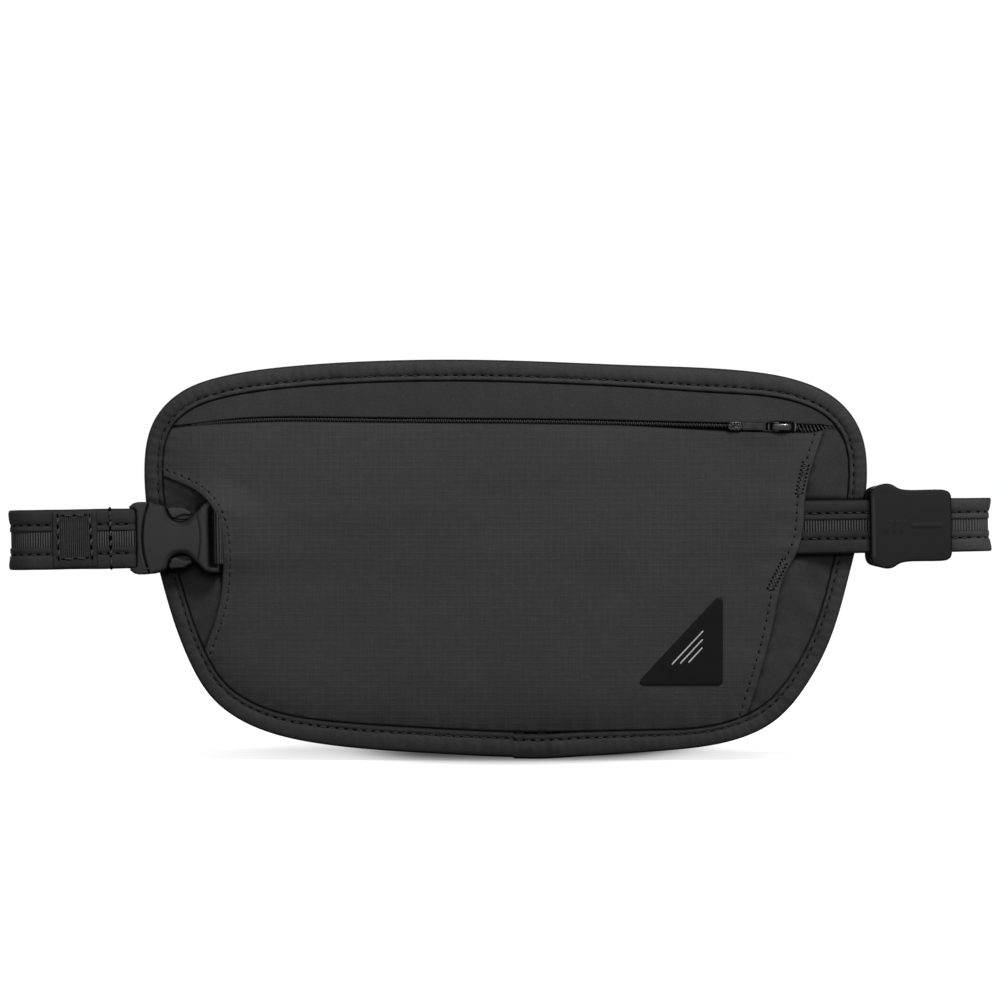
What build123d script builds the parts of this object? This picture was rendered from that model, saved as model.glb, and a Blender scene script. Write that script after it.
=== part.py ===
"""Waist money belt: a flat zipped pouch on a webbing strap with a side-release buckle.

The belt stands upright as it is worn.  X runs along the strap, the front faces -Y and Z is up.
The origin is the middle of the back panel's outer face, which rests on the wearer's waist.
"Depth" is the distance ahead of that face, so a point at depth d has y = -d.
All sizes are in millimetres.
"""
from build123d import *
import os

# ---------------------------------------------------------------- pouch
# Outline of the pouch seen from the front, anticlockwise from the middle of the bottom edge.
OUTLINE = [
    (18, -77.0), (60, -74.4), (84, -71.0), (103.7, -62.4), (116, -48.5), (124, -34.5),
    (133.7, -4), (140, 34.5), (137.3, 50), (129, 61.4), (114, 69.3), (91, 73.3),
    (52, 75.2), (-2, 77.2), (-58, 76.6), (-87, 74.5), (-110, 70.9), (-126, 64.7),
    (-136.2, 53.8), (-140, 34.5), (-133.3, -8), (-122.6, -39), (-112, -54.8), (-98, -64.2),
    (-72, -71.4), (-30, -75.6),
]
RIM_SAMPLES = 52
BINDING_WIDTH = 8.0
BINDING_WALL = 1.2
TAPE_THICKNESS = 0.6
BACK_THICKNESS = 1.0
LINING_THICKNESS = 0.3
LINING_DEPTH = 1.1
MIDDLE_BACK = 6.0
MIDDLE_FRONT = 6.6
FRONT_BACK = 10.0
FRONT_FRONT = 10.6
HEM = 1.5
CLEAR = 0.2
FRONT_TOP = -7.5
SEAM_TOP = -4.2
SEAM_THICKNESS = 0.5
BADGE_CORNERS = [(84.3, -14.7), (84.3, -49.0), (52.3, -49.0)]
BADGE_RADIUS = 1.8
BADGE_THICKNESS = 0.6
TACK_SIZE = (12.4, 2.6)
TACK_THICKNESS = 0.4
TACKS = [((114.0, 30.4), 78), ((105.4, -6.0), 66)]

# Hem of the front panel at the scooped opening beside the buckle, from the top down.
LEFT_HEM = [(-136, 33.5), (-127.1, 30.2), (-118, 27.4), (-110.6, 23.8), (-108.0, 18.0),
            (-108.0, 6), (-108.4, -5.8), (-110.0, -15.1), (-116.2, -33.7), (-123, -52)]
# Slanted hem of the front panel at the other side, from the top down.
RIGHT_HEM = [(123, 52), (118.2, 32.9), (115.8, 11.2), (113.9, 3.5), (108.9, -5.8),
             (101.1, -37.6), (92, -70)]

# ---------------------------------------------------------------- zipper
ZIP_HEIGHT = 52.9
ZIP_TILT = 0.92
ZIP_LEFT = -121.5
ZIP_RIGHT = 124.5
STOP_LENGTH = 2.0
COIL_GAP = 0.6
COIL_WIDTH = 0.8
COIL_FRONT = 7.0
ZIP_TAPE_WIDTH = 11.0
ZIP_TAPE_BACK = 5.4
ZIP_TAPE_FRONT = 5.9
STRIP_EDGE = 1.6
SLIDER_LEFT = 101.9
SLIDER_LENGTH = 11.2
SLIDER_HALF = 2.6
SLIDER_CORNER = 1.5
SLIDER_PLATE = 1.0
SLIDER_RUN = 0.3
WEDGE_HALF = 0.3
BRIDGE_X = (103.0, 110.0)
BRIDGE_WINDOW = (104.2, 108.8)
BRIDGE_FRONT = 11.0
BRIDGE_WALL = 0.7
BRIDGE_HALF = 1.1
PIN_X = 105.2
PIN_DEPTH = 9.4
PIN_RADIUS = 0.6
PULLER_THICKNESS = 1.2
FORK_INNER = 1.4
FORK_OUTER = 2.2
FORK_X = (99.6, 100.4, 101.0)
TAB_HALF = 1.6
GRIP_X = 89.15
GRIP_LENGTH = 5.7
GRIP_WIDTH = 3.7
GRIP_THICKNESS = 1.8

# ---------------------------------------------------------------- strap
STRAP_HEIGHT = 10.4
STRAP_TILT = 0.93
STRAP_THICKNESS = 2.2
WEB_THICKNESS = 1.2
SLEEVE_WALL = 0.5
MAIN_WIDTH = 21.0
MAIN_SLOT = 4.8
LEFT_WIDTH = 23.0
LEFT_SLOT = 6.2
RETURN_WIDTH = 20.0
REAR_DEPTH = -6.1
MAIN_DEPTH = 8.6
MAIN_END = 188.0
MAIN_START = -107.0
LEFT_DEPTH = 12.7
LEFT_END = -192.0
STRAP_JOIN = -172.0
PATCH_LEFT = -175.4
PATCH_RIGHT = -158.0
PATCH_HALF = 10.6
PATCH_THICKNESS = 0.8

# ---------------------------------------------------------------- side-release buckle
BUCKLE_DEPTH = 11.2
BUCKLE_HALF_THICKNESS = 3.8
MOUTH_X = -140.1
CAVITY_HALF_HEIGHT = 10.9
CAVITY_HALF_THICKNESS = 2.0
CAVITY_END = -117.0
WEB_SLOT = (-114.4, -109.0)
WEB_SLOT_HALF = 11.2
NECK_X = (-117.4, -109.0)
NECK_HALF_THICKNESS = 3.0
FEMALE_BAR_X = -111.3
FEMALE_BAR_RADIUS = 0.8
MALE_LEFT = -145.3
MALE_BAR_X = -144.3
MALE_BAR_RADIUS = 0.85
MALE_HALF_THICKNESS = 2.6
MALE_HALF_HEIGHT = 14.2
MOUTH_GAP = 0.25
RAIL_END = -142.0
RAIL_HALF = 11.9
TONGUE_START = -141.0
TONGUE_END = -136.0
PRONG_END = -118.5
PRONG_HALF = 2.0
PRONG_HALF_THICKNESS = 1.0
PRONG_CORNER = 1.2
ARM_HALF_THICKNESS = 1.6
ARM_GAP = 0.3
ARM_ROOT_RADIUS = 1.4
ARM_ROOT_Z = 8.0

# ---------------------------------------------------------------- strap adjuster
ADJUSTER_LEFT = 140.2
ADJUSTER_RIGHT = 173.2
ADJUSTER_HALF_HEIGHT = 13.75
EAR_HALF_HEIGHT = 16.5
ADJUSTER_BACK = 4.6
ADJUSTER_SPLIT = 6.2
ADJUSTER_FRONT = 12.9
ADJUSTER_WALL = 1.5
ADJUSTER_BEVEL = 0.8
CHANNEL_HALF = 11.0
BASE_WINDOWS = [(148, 153), (160, 165)]
CROSS_BAR_X = (154.0, 159.0)
CROSS_BAR_GAP = 0.3

zip_view = Pos(0, ZIP_HEIGHT) * Rot(0, 0, -ZIP_TILT)
zip_space = Pos(0, 0, ZIP_HEIGHT) * Rot(0, ZIP_TILT, 0)
strap_space = Pos(0, 0, STRAP_HEIGHT) * Rot(0, -STRAP_TILT, 0)
rim = Spline(*OUTLINE, periodic=True)
nodes = {}


def slab(view, back, front):
    """Extrude a front-view sketch from depth back to depth front."""
    return extrude(Plane.XZ.offset(back) * view, front - back)


def block(x, depth, z):
    """Box between three pairs of limits, the middle pair being depths."""
    place = Pos((x[0] + x[1]) / 2, -(depth[0] + depth[1]) / 2, (z[0] + z[1]) / 2)
    return place * Box(abs(x[1] - x[0]), abs(depth[1] - depth[0]), abs(z[1] - z[0]))


def both(half):
    """The pair of limits a distance half either side of zero."""
    return (-half, half)


def rod(x, depth, z, radius):
    """Round bar along Z at the given x and depth, between the pair of limits z."""
    return Pos(x, -depth, (z[0] + z[1]) / 2) * Cylinder(radius, z[1] - z[0])


def pouch_face(inset):
    """The pouch outline drawn in by inset all round, as a front-view face."""
    points = []
    for sample in range(RIM_SAMPLES):
        along = sample / RIM_SAMPLES
        tangent = rim % along
        points.append(rim @ along + Vector(-tangent.Y, tangent.X) * inset)
    return make_face(Spline(*points, periodic=True))


def above_zip(offset):
    """Front-view half plane above a line parallel to the zip, offset from it."""
    return zip_view * Pos(0, offset + 100) * Rectangle(400, 200)


def below_zip(offset):
    """Front-view half plane below a line parallel to the zip, offset from it."""
    return zip_view * Pos(0, offset - 150) * Rectangle(400, 300)


# ---------------------------------------------------------------- pouch panels
def make_panels():
    """Back panel, lining, middle panel, top strip and front panel, from back to front."""
    inner = pouch_face(BINDING_WALL)
    nodes["back_panel"] = slab(inner, 0, BACK_THICKNESS)
    nodes["pocket_lining"] = slab(pouch_face(BINDING_WIDTH + 1), LINING_DEPTH, LINING_DEPTH + LINING_THICKNESS)
    nodes["middle_panel"] = slab(inner & below_zip(-3), MIDDLE_BACK, MIDDLE_FRONT)
    nodes["top_strip"] = slab(inner & above_zip(STRIP_EDGE), MIDDLE_BACK, MIDDLE_FRONT)

    left_edge = Spline(*LEFT_HEM)
    right_edge = Spline(*RIGHT_HEM)
    across_top = Line(right_edge @ 0, left_edge @ 0)
    across_bottom = Polyline(left_edge @ 1, (-123, -90), (92, -90), right_edge @ 1)
    between_hems = make_face([left_edge, across_bottom, right_edge, across_top])
    sheet = pouch_face(BINDING_WIDTH + CLEAR) & between_hems & below_zip(FRONT_TOP)
    face = slab(sheet, FRONT_BACK, FRONT_FRONT)
    lower_fold = slab(sheet - pouch_face(BINDING_WIDTH + HEM), MIDDLE_FRONT, FRONT_BACK)
    upper_fold = slab(sheet - below_zip(FRONT_TOP - HEM), MIDDLE_FRONT, FRONT_BACK)
    seam_band = below_zip(SEAM_TOP) - below_zip(FRONT_TOP)
    seam = slab(pouch_face(BINDING_WIDTH + CLEAR) & between_hems & seam_band,
                MIDDLE_FRONT, MIDDLE_FRONT + SEAM_THICKNESS)
    nodes["front_panel"] = face + lower_fold + upper_fold + seam


def make_binding():
    """Tape folded over the raw edges of the panels, all round the pouch."""
    outside = slab(pouch_face(0), -TAPE_THICKNESS, MIDDLE_FRONT + TAPE_THICKNESS)
    opening = slab(pouch_face(BINDING_WIDTH), -TAPE_THICKNESS, MIDDLE_FRONT + TAPE_THICKNESS)
    groove = slab(pouch_face(BINDING_WALL), 0, MIDDLE_FRONT)
    nodes["edge_binding"] = outside - opening - groove


def make_trim():
    """Corner badge and the two bartacks that close the ends of the strap tunnel."""
    badge = fillet(make_face(Polyline(*BADGE_CORNERS, close=True)).vertices(), BADGE_RADIUS)
    nodes["corner_badge"] = slab(badge, FRONT_FRONT, FRONT_FRONT + BADGE_THICKNESS)
    tacks = [Pos(*centre) * Rot(0, 0, angle) * Rectangle(*TACK_SIZE) for centre, angle in TACKS]
    nodes["tunnel_bartacks"] = slab(Sketch() + tacks, FRONT_FRONT, FRONT_FRONT + TACK_THICKNESS)


# ---------------------------------------------------------------- zipper
def make_zipper():
    """Tapes, coils and end stops, in the tilted frame of the zip."""
    reach = pouch_face(BINDING_WALL + CLEAR)
    stop_depths = (ZIP_TAPE_FRONT, COIL_FRONT + 0.3)
    coil_x = (ZIP_LEFT, ZIP_RIGHT)
    coil_depths = (ZIP_TAPE_FRONT, COIL_FRONT)
    coil_z = (COIL_GAP, COIL_GAP + COIL_WIDTH)
    upper_tape = reach & above_zip(COIL_GAP) & below_zip(ZIP_TAPE_WIDTH)
    lower_tape = reach & below_zip(-COIL_GAP) & above_zip(-ZIP_TAPE_WIDTH)
    nodes["zipper_tape_upper"] = slab(upper_tape, ZIP_TAPE_BACK, ZIP_TAPE_FRONT)
    nodes["zipper_tape_lower"] = slab(lower_tape, ZIP_TAPE_BACK, ZIP_TAPE_FRONT)
    nodes["zipper_coil_upper"] = zip_space * block(coil_x, coil_depths, coil_z)
    nodes["zipper_coil_lower"] = zip_space * block(coil_x, coil_depths, (-coil_z[1], -coil_z[0]))
    left_stop = block((ZIP_LEFT - STOP_LENGTH, ZIP_LEFT), stop_depths, both(STRIP_EDGE - 0.1))
    right_x = (ZIP_RIGHT, ZIP_RIGHT + STOP_LENGTH)
    right_upper = block(right_x, stop_depths, (0.2, STRIP_EDGE - 0.1))
    right_lower = block(right_x, stop_depths, (0.1 - STRIP_EDGE, -0.2))
    nodes["zipper_stop_left"] = zip_space * left_stop
    nodes["zipper_stops_right"] = zip_space * (right_upper + right_lower)


def make_slider():
    """Slider with two plates, a wedge between the coils and a bridge that holds the puller."""
    x = (SLIDER_LEFT, SLIDER_LEFT + SLIDER_LENGTH)
    front = COIL_FRONT + SLIDER_RUN
    back = ZIP_TAPE_BACK - SLIDER_RUN
    front_plate = block(x, (front, front + SLIDER_PLATE), both(SLIDER_HALF))
    front_plate = fillet(front_plate.edges().filter_by(Axis.Y), SLIDER_CORNER)
    back_plate = block(x, (back - SLIDER_PLATE, back), both(SLIDER_HALF))
    back_plate = fillet(back_plate.edges().filter_by(Axis.Y), SLIDER_CORNER)
    wedge = block((x[1] - 3.5, x[1] - 0.8), (back, front), both(WEDGE_HALF))
    plate_face = front + SLIDER_PLATE
    bridge = block(BRIDGE_X, (plate_face, BRIDGE_FRONT), both(BRIDGE_HALF))
    bridge = fillet(bridge.edges().filter_by(Axis.Z).group_by(Axis.Y)[0], 1.2)
    window = block(BRIDGE_WINDOW, (plate_face, BRIDGE_FRONT - BRIDGE_WALL), both(BRIDGE_HALF))
    nodes["zipper_slider"] = zip_space * (front_plate + back_plate + wedge + (bridge - window))


def make_puller():
    """Puller: a forked eye on a cross pin, a flat tab and an oblong grip."""
    half = PULLER_THICKNESS / 2
    depths = (PIN_DEPTH - half, PIN_DEPTH + half)
    pin = rod(PIN_X, PIN_DEPTH, both(FORK_OUTER), PIN_RADIUS)
    upper_arm = block((FORK_X[1], PIN_X), depths, (FORK_INNER, FORK_OUTER))
    lower_arm = block((FORK_X[1], PIN_X), depths, (-FORK_OUTER, -FORK_INNER))
    shoulder = block((FORK_X[0], FORK_X[2]), depths, both(FORK_OUTER))
    tab = block((GRIP_X, FORK_X[0]), depths, both(TAB_HALF))
    half = GRIP_THICKNESS / 2
    oblong = Pos(GRIP_X, 0) * SlotOverall(GRIP_LENGTH, GRIP_WIDTH)
    grip = slab(oblong, PIN_DEPTH - half, PIN_DEPTH + half)
    nodes["puller_tab"] = zip_space * (pin + upper_arm + lower_arm + shoulder + tab - grip)
    nodes["puller_grip"] = zip_space * grip


# ---------------------------------------------------------------- strap
def strap_layers(start, end, rear_end, front_depth, rear_depth, offsets, z):
    """Front run, fold and rear run of one layer of a strap that folds round at x = end.

    offsets are the layer's limits outwards from the strap's middle surface.
    """
    radius = (front_depth - rear_depth) / 2
    side = 1 if end > start else -1
    centre_x = end - side * (radius + STRAP_THICKNESS / 2)
    centre_depth = (front_depth + rear_depth) / 2
    front = block((start, centre_x), (front_depth + offsets[0], front_depth + offsets[1]), z)
    rear = block((rear_end, centre_x), (rear_depth - offsets[1], rear_depth - offsets[0]), z)
    ring = rod(centre_x, centre_depth, z, radius + offsets[1])
    ring -= rod(centre_x, centre_depth, z, radius + offsets[0])
    reach = radius + STRAP_THICKNESS
    beyond = block((centre_x, centre_x + side * reach), (centre_depth - reach, centre_depth + reach), z)
    return front, ring & beyond, rear


def strap_webbing(path, width):
    """The webbing inside a sleeve of the given width, in one length."""
    web = both(WEB_THICKNESS / 2)
    front, fold, rear = strap_layers(*path, web, both(width / 2 - SLEEVE_WALL))
    return front + fold + rear


def strap_sleeves(path, width, slot):
    """Front run, fold and rear run of the fabric sleeve, open in a slot along its outer face."""
    half = STRAP_THICKNESS / 2
    web = WEB_THICKNESS / 2
    whole = strap_layers(*path, both(half), both(width / 2))
    hollow = strap_layers(*path, both(web), both(width / 2 - SLEEVE_WALL))
    opening = strap_layers(*path, (web, half), both(slot / 2))
    return [outer - inner - gap for outer, inner, gap in zip(whole, hollow, opening)]


def make_strap():
    """The long strap behind the pouch, the short one at the buckle, and what is sewn to them."""
    web = both(WEB_THICKNESS / 2)
    main = (MAIN_START, MAIN_END, STRAP_JOIN, MAIN_DEPTH, REAR_DEPTH)
    nodes["strap_main_webbing"] = strap_space * strap_webbing(main, MAIN_WIDTH)
    for place, sleeve in zip(("tunnel", "fold", "rear"), strap_sleeves(main, MAIN_WIDTH, MAIN_SLOT)):
        nodes[f"strap_{place}_sleeve"] = strap_space * sleeve

    left_web = (MALE_BAR_X, LEFT_END, STRAP_JOIN, LEFT_DEPTH, REAR_DEPTH)
    left_sleeve = (MALE_BAR_X - 1.6, LEFT_END, STRAP_JOIN, LEFT_DEPTH, REAR_DEPTH)
    hollow_half = LEFT_WIDTH / 2 - SLEEVE_WALL
    run = strap_webbing(left_web, LEFT_WIDTH)
    turn_radius = LEFT_DEPTH - BUCKLE_DEPTH
    turn = rod(MALE_BAR_X, BUCKLE_DEPTH, both(hollow_half), turn_radius + web[1])
    turn -= rod(MALE_BAR_X, BUCKLE_DEPTH, both(hollow_half), turn_radius - web[1])
    turn &= block((MALE_BAR_X, MALE_BAR_X + 5), (0, 20), both(hollow_half))
    return_depth = BUCKLE_DEPTH - turn_radius
    return_depths = (return_depth + web[0], return_depth + web[1])
    back_run = block((PATCH_LEFT, MALE_BAR_X), return_depths, both(RETURN_WIDTH / 2))
    nodes["strap_left_webbing"] = strap_space * (run + turn + back_run)
    front, fold, rear = strap_sleeves(left_sleeve, LEFT_WIDTH, LEFT_SLOT)
    nodes["strap_left_sleeve"] = strap_space * (front + fold + rear)
    face = LEFT_DEPTH + STRAP_THICKNESS / 2
    patch = block((PATCH_LEFT, PATCH_RIGHT), (face, face + PATCH_THICKNESS), both(PATCH_HALF))
    nodes["strap_end_patch"] = strap_space * patch

    loop_radius = FEMALE_BAR_RADIUS + WEB_THICKNESS + 0.1
    loop = Pos(FEMALE_BAR_X, BUCKLE_DEPTH) * Circle(loop_radius)
    tail_front = MAIN_DEPTH + STRAP_THICKNESS / 2
    tail_back = MAIN_DEPTH - STRAP_THICKNESS / 2
    tail = Polyline(
        (FEMALE_BAR_X - 1.9, BUCKLE_DEPTH - 1.2), (FEMALE_BAR_X + 0.8, tail_back),
        (MAIN_START, tail_back), (MAIN_START, tail_front),
        (FEMALE_BAR_X + 2.5, tail_front), (FEMALE_BAR_X + 1.2, BUCKLE_DEPTH + 1.8), close=True,
    )
    plan = loop + make_face(tail) - Pos(FEMALE_BAR_X, BUCKLE_DEPTH) * Circle(FEMALE_BAR_RADIUS + 0.1)
    half = MAIN_WIDTH / 2
    upright = extrude(plan, half, both=True)
    nodes["buckle_web_loop"] = strap_space * mirror(upright, about=Plane.XZ)


# ---------------------------------------------------------------- side-release buckle
def mirrored(points):
    """Close an upper edge given from left to right with its mirror image below."""
    return points + [(x, -z) for x, z in reversed(points)]


def buckle_slab(view, half_thickness):
    """Extrude a front-view sketch either side of the buckle's middle depth."""
    return slab(view, BUCKLE_DEPTH - half_thickness, BUCKLE_DEPTH + half_thickness)


def make_female():
    """Housing with an open mouth, a window each side and a bar for the webbing."""
    shoulder = [(-137.5, 13.9), (-132.1, 12.5), (-130.9, 11.2), (-129.4, 7.9), (-126.8, 6.4),
                (-123.9, 6.9), (-121.1, 8.5), (-118.4, 10.2), (-116.6, 12.6), (-114.5, 13.3),
                (-109.6, 13.3)]
    lower = [(x, -z) for x, z in shoulder]
    upper_edge = Polyline(*shoulder)
    lower_edge = Polyline(*lower)
    mouth = ThreePointArc(shoulder[0], (MOUTH_X, 0), lower[0])
    heel = Line(shoulder[-1], lower[-1])
    outline = make_face([upper_edge, heel, lower_edge, mouth])
    body = buckle_slab(outline, BUCKLE_HALF_THICKNESS)
    cavity_x = (MOUTH_X - 1, CAVITY_END)
    cavity_depths = (BUCKLE_DEPTH - CAVITY_HALF_THICKNESS, BUCKLE_DEPTH + CAVITY_HALF_THICKNESS)
    body -= block(cavity_x, cavity_depths, both(CAVITY_HALF_HEIGHT))
    body -= block(WEB_SLOT, (0, 20), both(WEB_SLOT_HALF))
    body -= block(NECK_X, (BUCKLE_DEPTH + NECK_HALF_THICKNESS, 20), both(20))
    body -= block(NECK_X, (0, BUCKLE_DEPTH - NECK_HALF_THICKNESS), both(20))
    bar = rod(FEMALE_BAR_X, BUCKLE_DEPTH, both(11.4), FEMALE_BAR_RADIUS)
    nodes["buckle_female"] = strap_space * (body + bar)


def make_male():
    """Male half: webbing bar between two rails, a rim, a guide prong and two latch arms."""
    corner = (-137.5 - MOUTH_GAP, MALE_HALF_HEIGHT)
    rim_arc = ThreePointArc(corner, (MOUTH_X - MOUTH_GAP, 0), (corner[0], -corner[1]))
    ear = [(MALE_LEFT, 12.2), (-143.6, MALE_HALF_HEIGHT), corner]
    sides = Polyline(*[(x, -z) for x, z in reversed(ear)], *ear)
    flange = buckle_slab(make_face([rim_arc, sides]), MALE_HALF_THICKNESS)
    flange -= block((-150, RAIL_END), (0, 20), both(RAIL_HALF))
    bar = rod(MALE_BAR_X, BUCKLE_DEPTH, both(12.0), MALE_BAR_RADIUS)
    thin = (BUCKLE_DEPTH - ARM_HALF_THICKNESS, BUCKLE_DEPTH + ARM_HALF_THICKNESS)
    tongue = block((TONGUE_START, TONGUE_END), thin, both(CAVITY_HALF_HEIGHT - ARM_GAP))
    flat = (BUCKLE_DEPTH - PRONG_HALF_THICKNESS, BUCKLE_DEPTH + PRONG_HALF_THICKNESS)
    prong = block((TONGUE_START, PRONG_END), flat, both(PRONG_HALF))
    prong = fillet(prong.edges().filter_by(Axis.Y).group_by(Axis.X)[-1], PRONG_CORNER)
    nodes["buckle_male"] = strap_space * (flange + bar + tongue + prong)

    root_x = TONGUE_END + ARM_GAP + ARM_ROOT_RADIUS
    arm = [(root_x, ARM_ROOT_Z - ARM_ROOT_RADIUS), (root_x, ARM_ROOT_Z + ARM_ROOT_RADIUS), (-131.2, 10.3),
           (-130.2, 11.4), (-125.2, 11.4), (-121.4, 9.2), (-121.4, 7.4), (-124.0, 7.8), (-129.0, 7.6)]
    root = Pos(root_x, ARM_ROOT_Z) * Circle(ARM_ROOT_RADIUS)
    upper = buckle_slab(make_face(Polyline(*arm, close=True)) + root, ARM_HALF_THICKNESS)
    nodes["latch_arm_upper"] = strap_space * upper
    nodes["latch_arm_lower"] = strap_space * mirror(upper, about=Plane.XY)


# ---------------------------------------------------------------- strap adjuster
def adjuster_view():
    """Front-view outline of the adjuster: rounded plate with an ear above and below at one end."""
    top = [(ADJUSTER_LEFT, 11.0), (143.2, 15.6), (145.6, EAR_HALF_HEIGHT), (149.6, EAR_HALF_HEIGHT),
           (154.5, ADJUSTER_HALF_HEIGHT), (171.2, ADJUSTER_HALF_HEIGHT), (ADJUSTER_RIGHT, 11.8)]
    return make_face(Polyline(*mirrored(top), close=True))


def make_adjuster():
    """Cover, base and the bar that the webbing passes."""
    view = adjuster_view()
    cover = slab(view, ADJUSTER_SPLIT, ADJUSTER_FRONT)
    front_edges = cover.edges().filter_by(lambda edge: abs(edge.center().Y + ADJUSTER_FRONT) < 0.01)
    cover = chamfer(front_edges, ADJUSTER_BEVEL)
    channel_front = ADJUSTER_FRONT - ADJUSTER_WALL
    through = (ADJUSTER_LEFT - 5, ADJUSTER_RIGHT + 5)
    cover -= block(through, (ADJUSTER_SPLIT, channel_front), both(CHANNEL_HALF))
    base = slab(view, ADJUSTER_BACK, ADJUSTER_SPLIT)
    for window in BASE_WINDOWS:
        base -= block(window, (0, ADJUSTER_SPLIT), both(CHANNEL_HALF))
    strap_front = MAIN_DEPTH + STRAP_THICKNESS / 2
    bar = block(CROSS_BAR_X, (strap_front + CROSS_BAR_GAP, channel_front), both(CHANNEL_HALF))
    nodes["adjuster_cover"] = strap_space * cover
    nodes["adjuster_base"] = strap_space * base
    nodes["adjuster_bar"] = strap_space * bar


make_panels()
make_binding()
make_trim()
make_zipper()
make_slider()
make_puller()
make_strap()
make_female()
make_male()
make_adjuster()

os.makedirs("parts", exist_ok=True)
for name, shape in nodes.items():
    export_step(shape, f"parts/{name}.step")
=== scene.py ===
"""Looks of a waist money belt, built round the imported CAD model.

Lengths are in millimetres until put() turns them into metres.  A front-view point is (x, z), and
its depth is how far it stands ahead of the back panel's outer face, so it lies at y = -depth.
"""
import math

import bpy
import numpy as np
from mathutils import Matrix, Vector, noise
from mathutils.geometry import delaunay_2d_cdt


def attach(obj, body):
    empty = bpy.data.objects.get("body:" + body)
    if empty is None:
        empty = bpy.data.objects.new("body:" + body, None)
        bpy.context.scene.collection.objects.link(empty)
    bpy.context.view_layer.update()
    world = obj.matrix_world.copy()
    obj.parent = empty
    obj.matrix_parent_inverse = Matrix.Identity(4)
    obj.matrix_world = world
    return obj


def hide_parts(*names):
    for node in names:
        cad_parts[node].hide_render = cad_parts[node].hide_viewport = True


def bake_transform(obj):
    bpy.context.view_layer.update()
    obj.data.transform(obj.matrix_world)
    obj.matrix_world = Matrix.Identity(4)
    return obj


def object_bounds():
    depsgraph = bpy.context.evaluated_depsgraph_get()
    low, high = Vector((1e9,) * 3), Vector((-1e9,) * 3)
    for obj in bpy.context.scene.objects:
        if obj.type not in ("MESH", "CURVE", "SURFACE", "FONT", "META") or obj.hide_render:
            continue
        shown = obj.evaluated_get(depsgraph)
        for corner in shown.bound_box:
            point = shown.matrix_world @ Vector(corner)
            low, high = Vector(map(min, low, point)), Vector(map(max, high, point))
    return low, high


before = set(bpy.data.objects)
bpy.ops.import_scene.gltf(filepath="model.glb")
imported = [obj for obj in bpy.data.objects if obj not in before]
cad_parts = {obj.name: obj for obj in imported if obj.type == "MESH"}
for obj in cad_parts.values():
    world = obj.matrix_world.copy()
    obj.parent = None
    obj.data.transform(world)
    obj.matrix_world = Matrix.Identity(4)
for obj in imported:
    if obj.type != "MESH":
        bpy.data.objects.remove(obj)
cad_box = [list(corner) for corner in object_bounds()]

# ---------------------------------------------------------------- driving dimensions
OUTLINE = [
    (18, -77.0), (60, -74.6), (84.4, -71.5), (104.6, -63.0), (117, -49), (124.8, -34.7),
    (134.2, -4), (140.6, 34.5), (137.9, 50), (129.3, 61.6), (114, 69.3), (91, 73.3),
    (52, 75.2), (-2, 77.2), (-58, 76.6), (-87, 74.5), (-110, 70.9), (-126, 64.7),
    (-136.2, 53.8), (-140, 34.5), (-133.3, -8), (-122.8, -39.1), (-112.5, -55.2), (-98.4, -64.7),
    (-72, -71.7), (-30, -75.4),
]
LEFT_HEM = [(-138, 34), (-132.3, 31.8), (-127.1, 29.8), (-119.3, 26), (-114.3, 21.3), (-111.2, 15.1),
            (-109.4, 5.4), (-109.4, -5.8), (-110.6, -16), (-116.2, -33.7), (-121, -46)]
RIGHT_HEM = [(124.3, 51), (122.6, 46.1), (118.4, 32.9), (116.6, 24.4), (115.6, 11.2), (113.7, 3.5),
             (108.9, -5.8), (104.6, -22.9), (101.1, -37.6), (97.6, -49.8), (92, -68)]
RIM_DEPTH = 3.3
RIM_FRONT = 4.5
RIM_BACK = 2.0
CROWN_TOP = 3.3
CROWN_BODY = 2.1
ZIP_HEIGHT = 52.9
ZIP_SLOPE = math.radians(0.92)
STRAP_HEIGHT = 10.4
STRAP_SLOPE = math.radians(0.93)
STITCH_PITCH = 3.15
STRAP_STITCH = 3.4
RIGHT_RIBS = 1.06
LEFT_RIBS = 0.95
LOOP_RIBS = 0.9
PATCH_RIBS = 0.8
REAR_DEPTH = -6.1
RIGHT_DEPTH = 8.6
LEFT_DEPTH = 12.7
BUCKLE_DEPTH = 11.2
MALE_BAR = (-144.3, BUCKLE_DEPTH)
FEMALE_BAR = (-111.3, BUCKLE_DEPTH)
# line just below the buckle, in the strap's frame: a shadow is painted on the pouch along it and along its
# mirror above
BUCKLE_BELOW = [(-139.5, -14.3), (-133.5, -14.0), (-130.2, -12.6), (-127, -12.4), (-124.4, -12.1),
                (-121.8, -10.6), (-120.2, -9.9), (-118.2, -11.8), (-116.2, -13.8), (-113.5, -14.6),
                (-109.0, -14.6)]


# ---------------------------------------------------------------- curves in the plane
def resample(line, count, closed=False):
    """Evenly spaced points along a line of points."""
    line = np.asarray(line, float)
    if closed:
        line = np.vstack([line, line[:1]])
    along = np.r_[0, np.cumsum(np.linalg.norm(np.diff(line, axis=0), axis=1))]
    wanted = np.linspace(0, along[-1], count + 1)[:-1] if closed else np.linspace(0, along[-1], count)
    return np.stack([np.interp(wanted, along, line[:, axis]) for axis in range(line.shape[1])], 1)


def length_of(line):
    """Length of a line of points."""
    return float(np.linalg.norm(np.diff(line, axis=0), axis=1).sum())


def evened(loop, step):
    """A closed loop with its points about step apart."""
    return resample(loop, int(length_of(loop) / step), closed=True)


def turns(count):
    """Even angles round a full turn."""
    return np.arange(count) * math.tau / count


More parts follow.
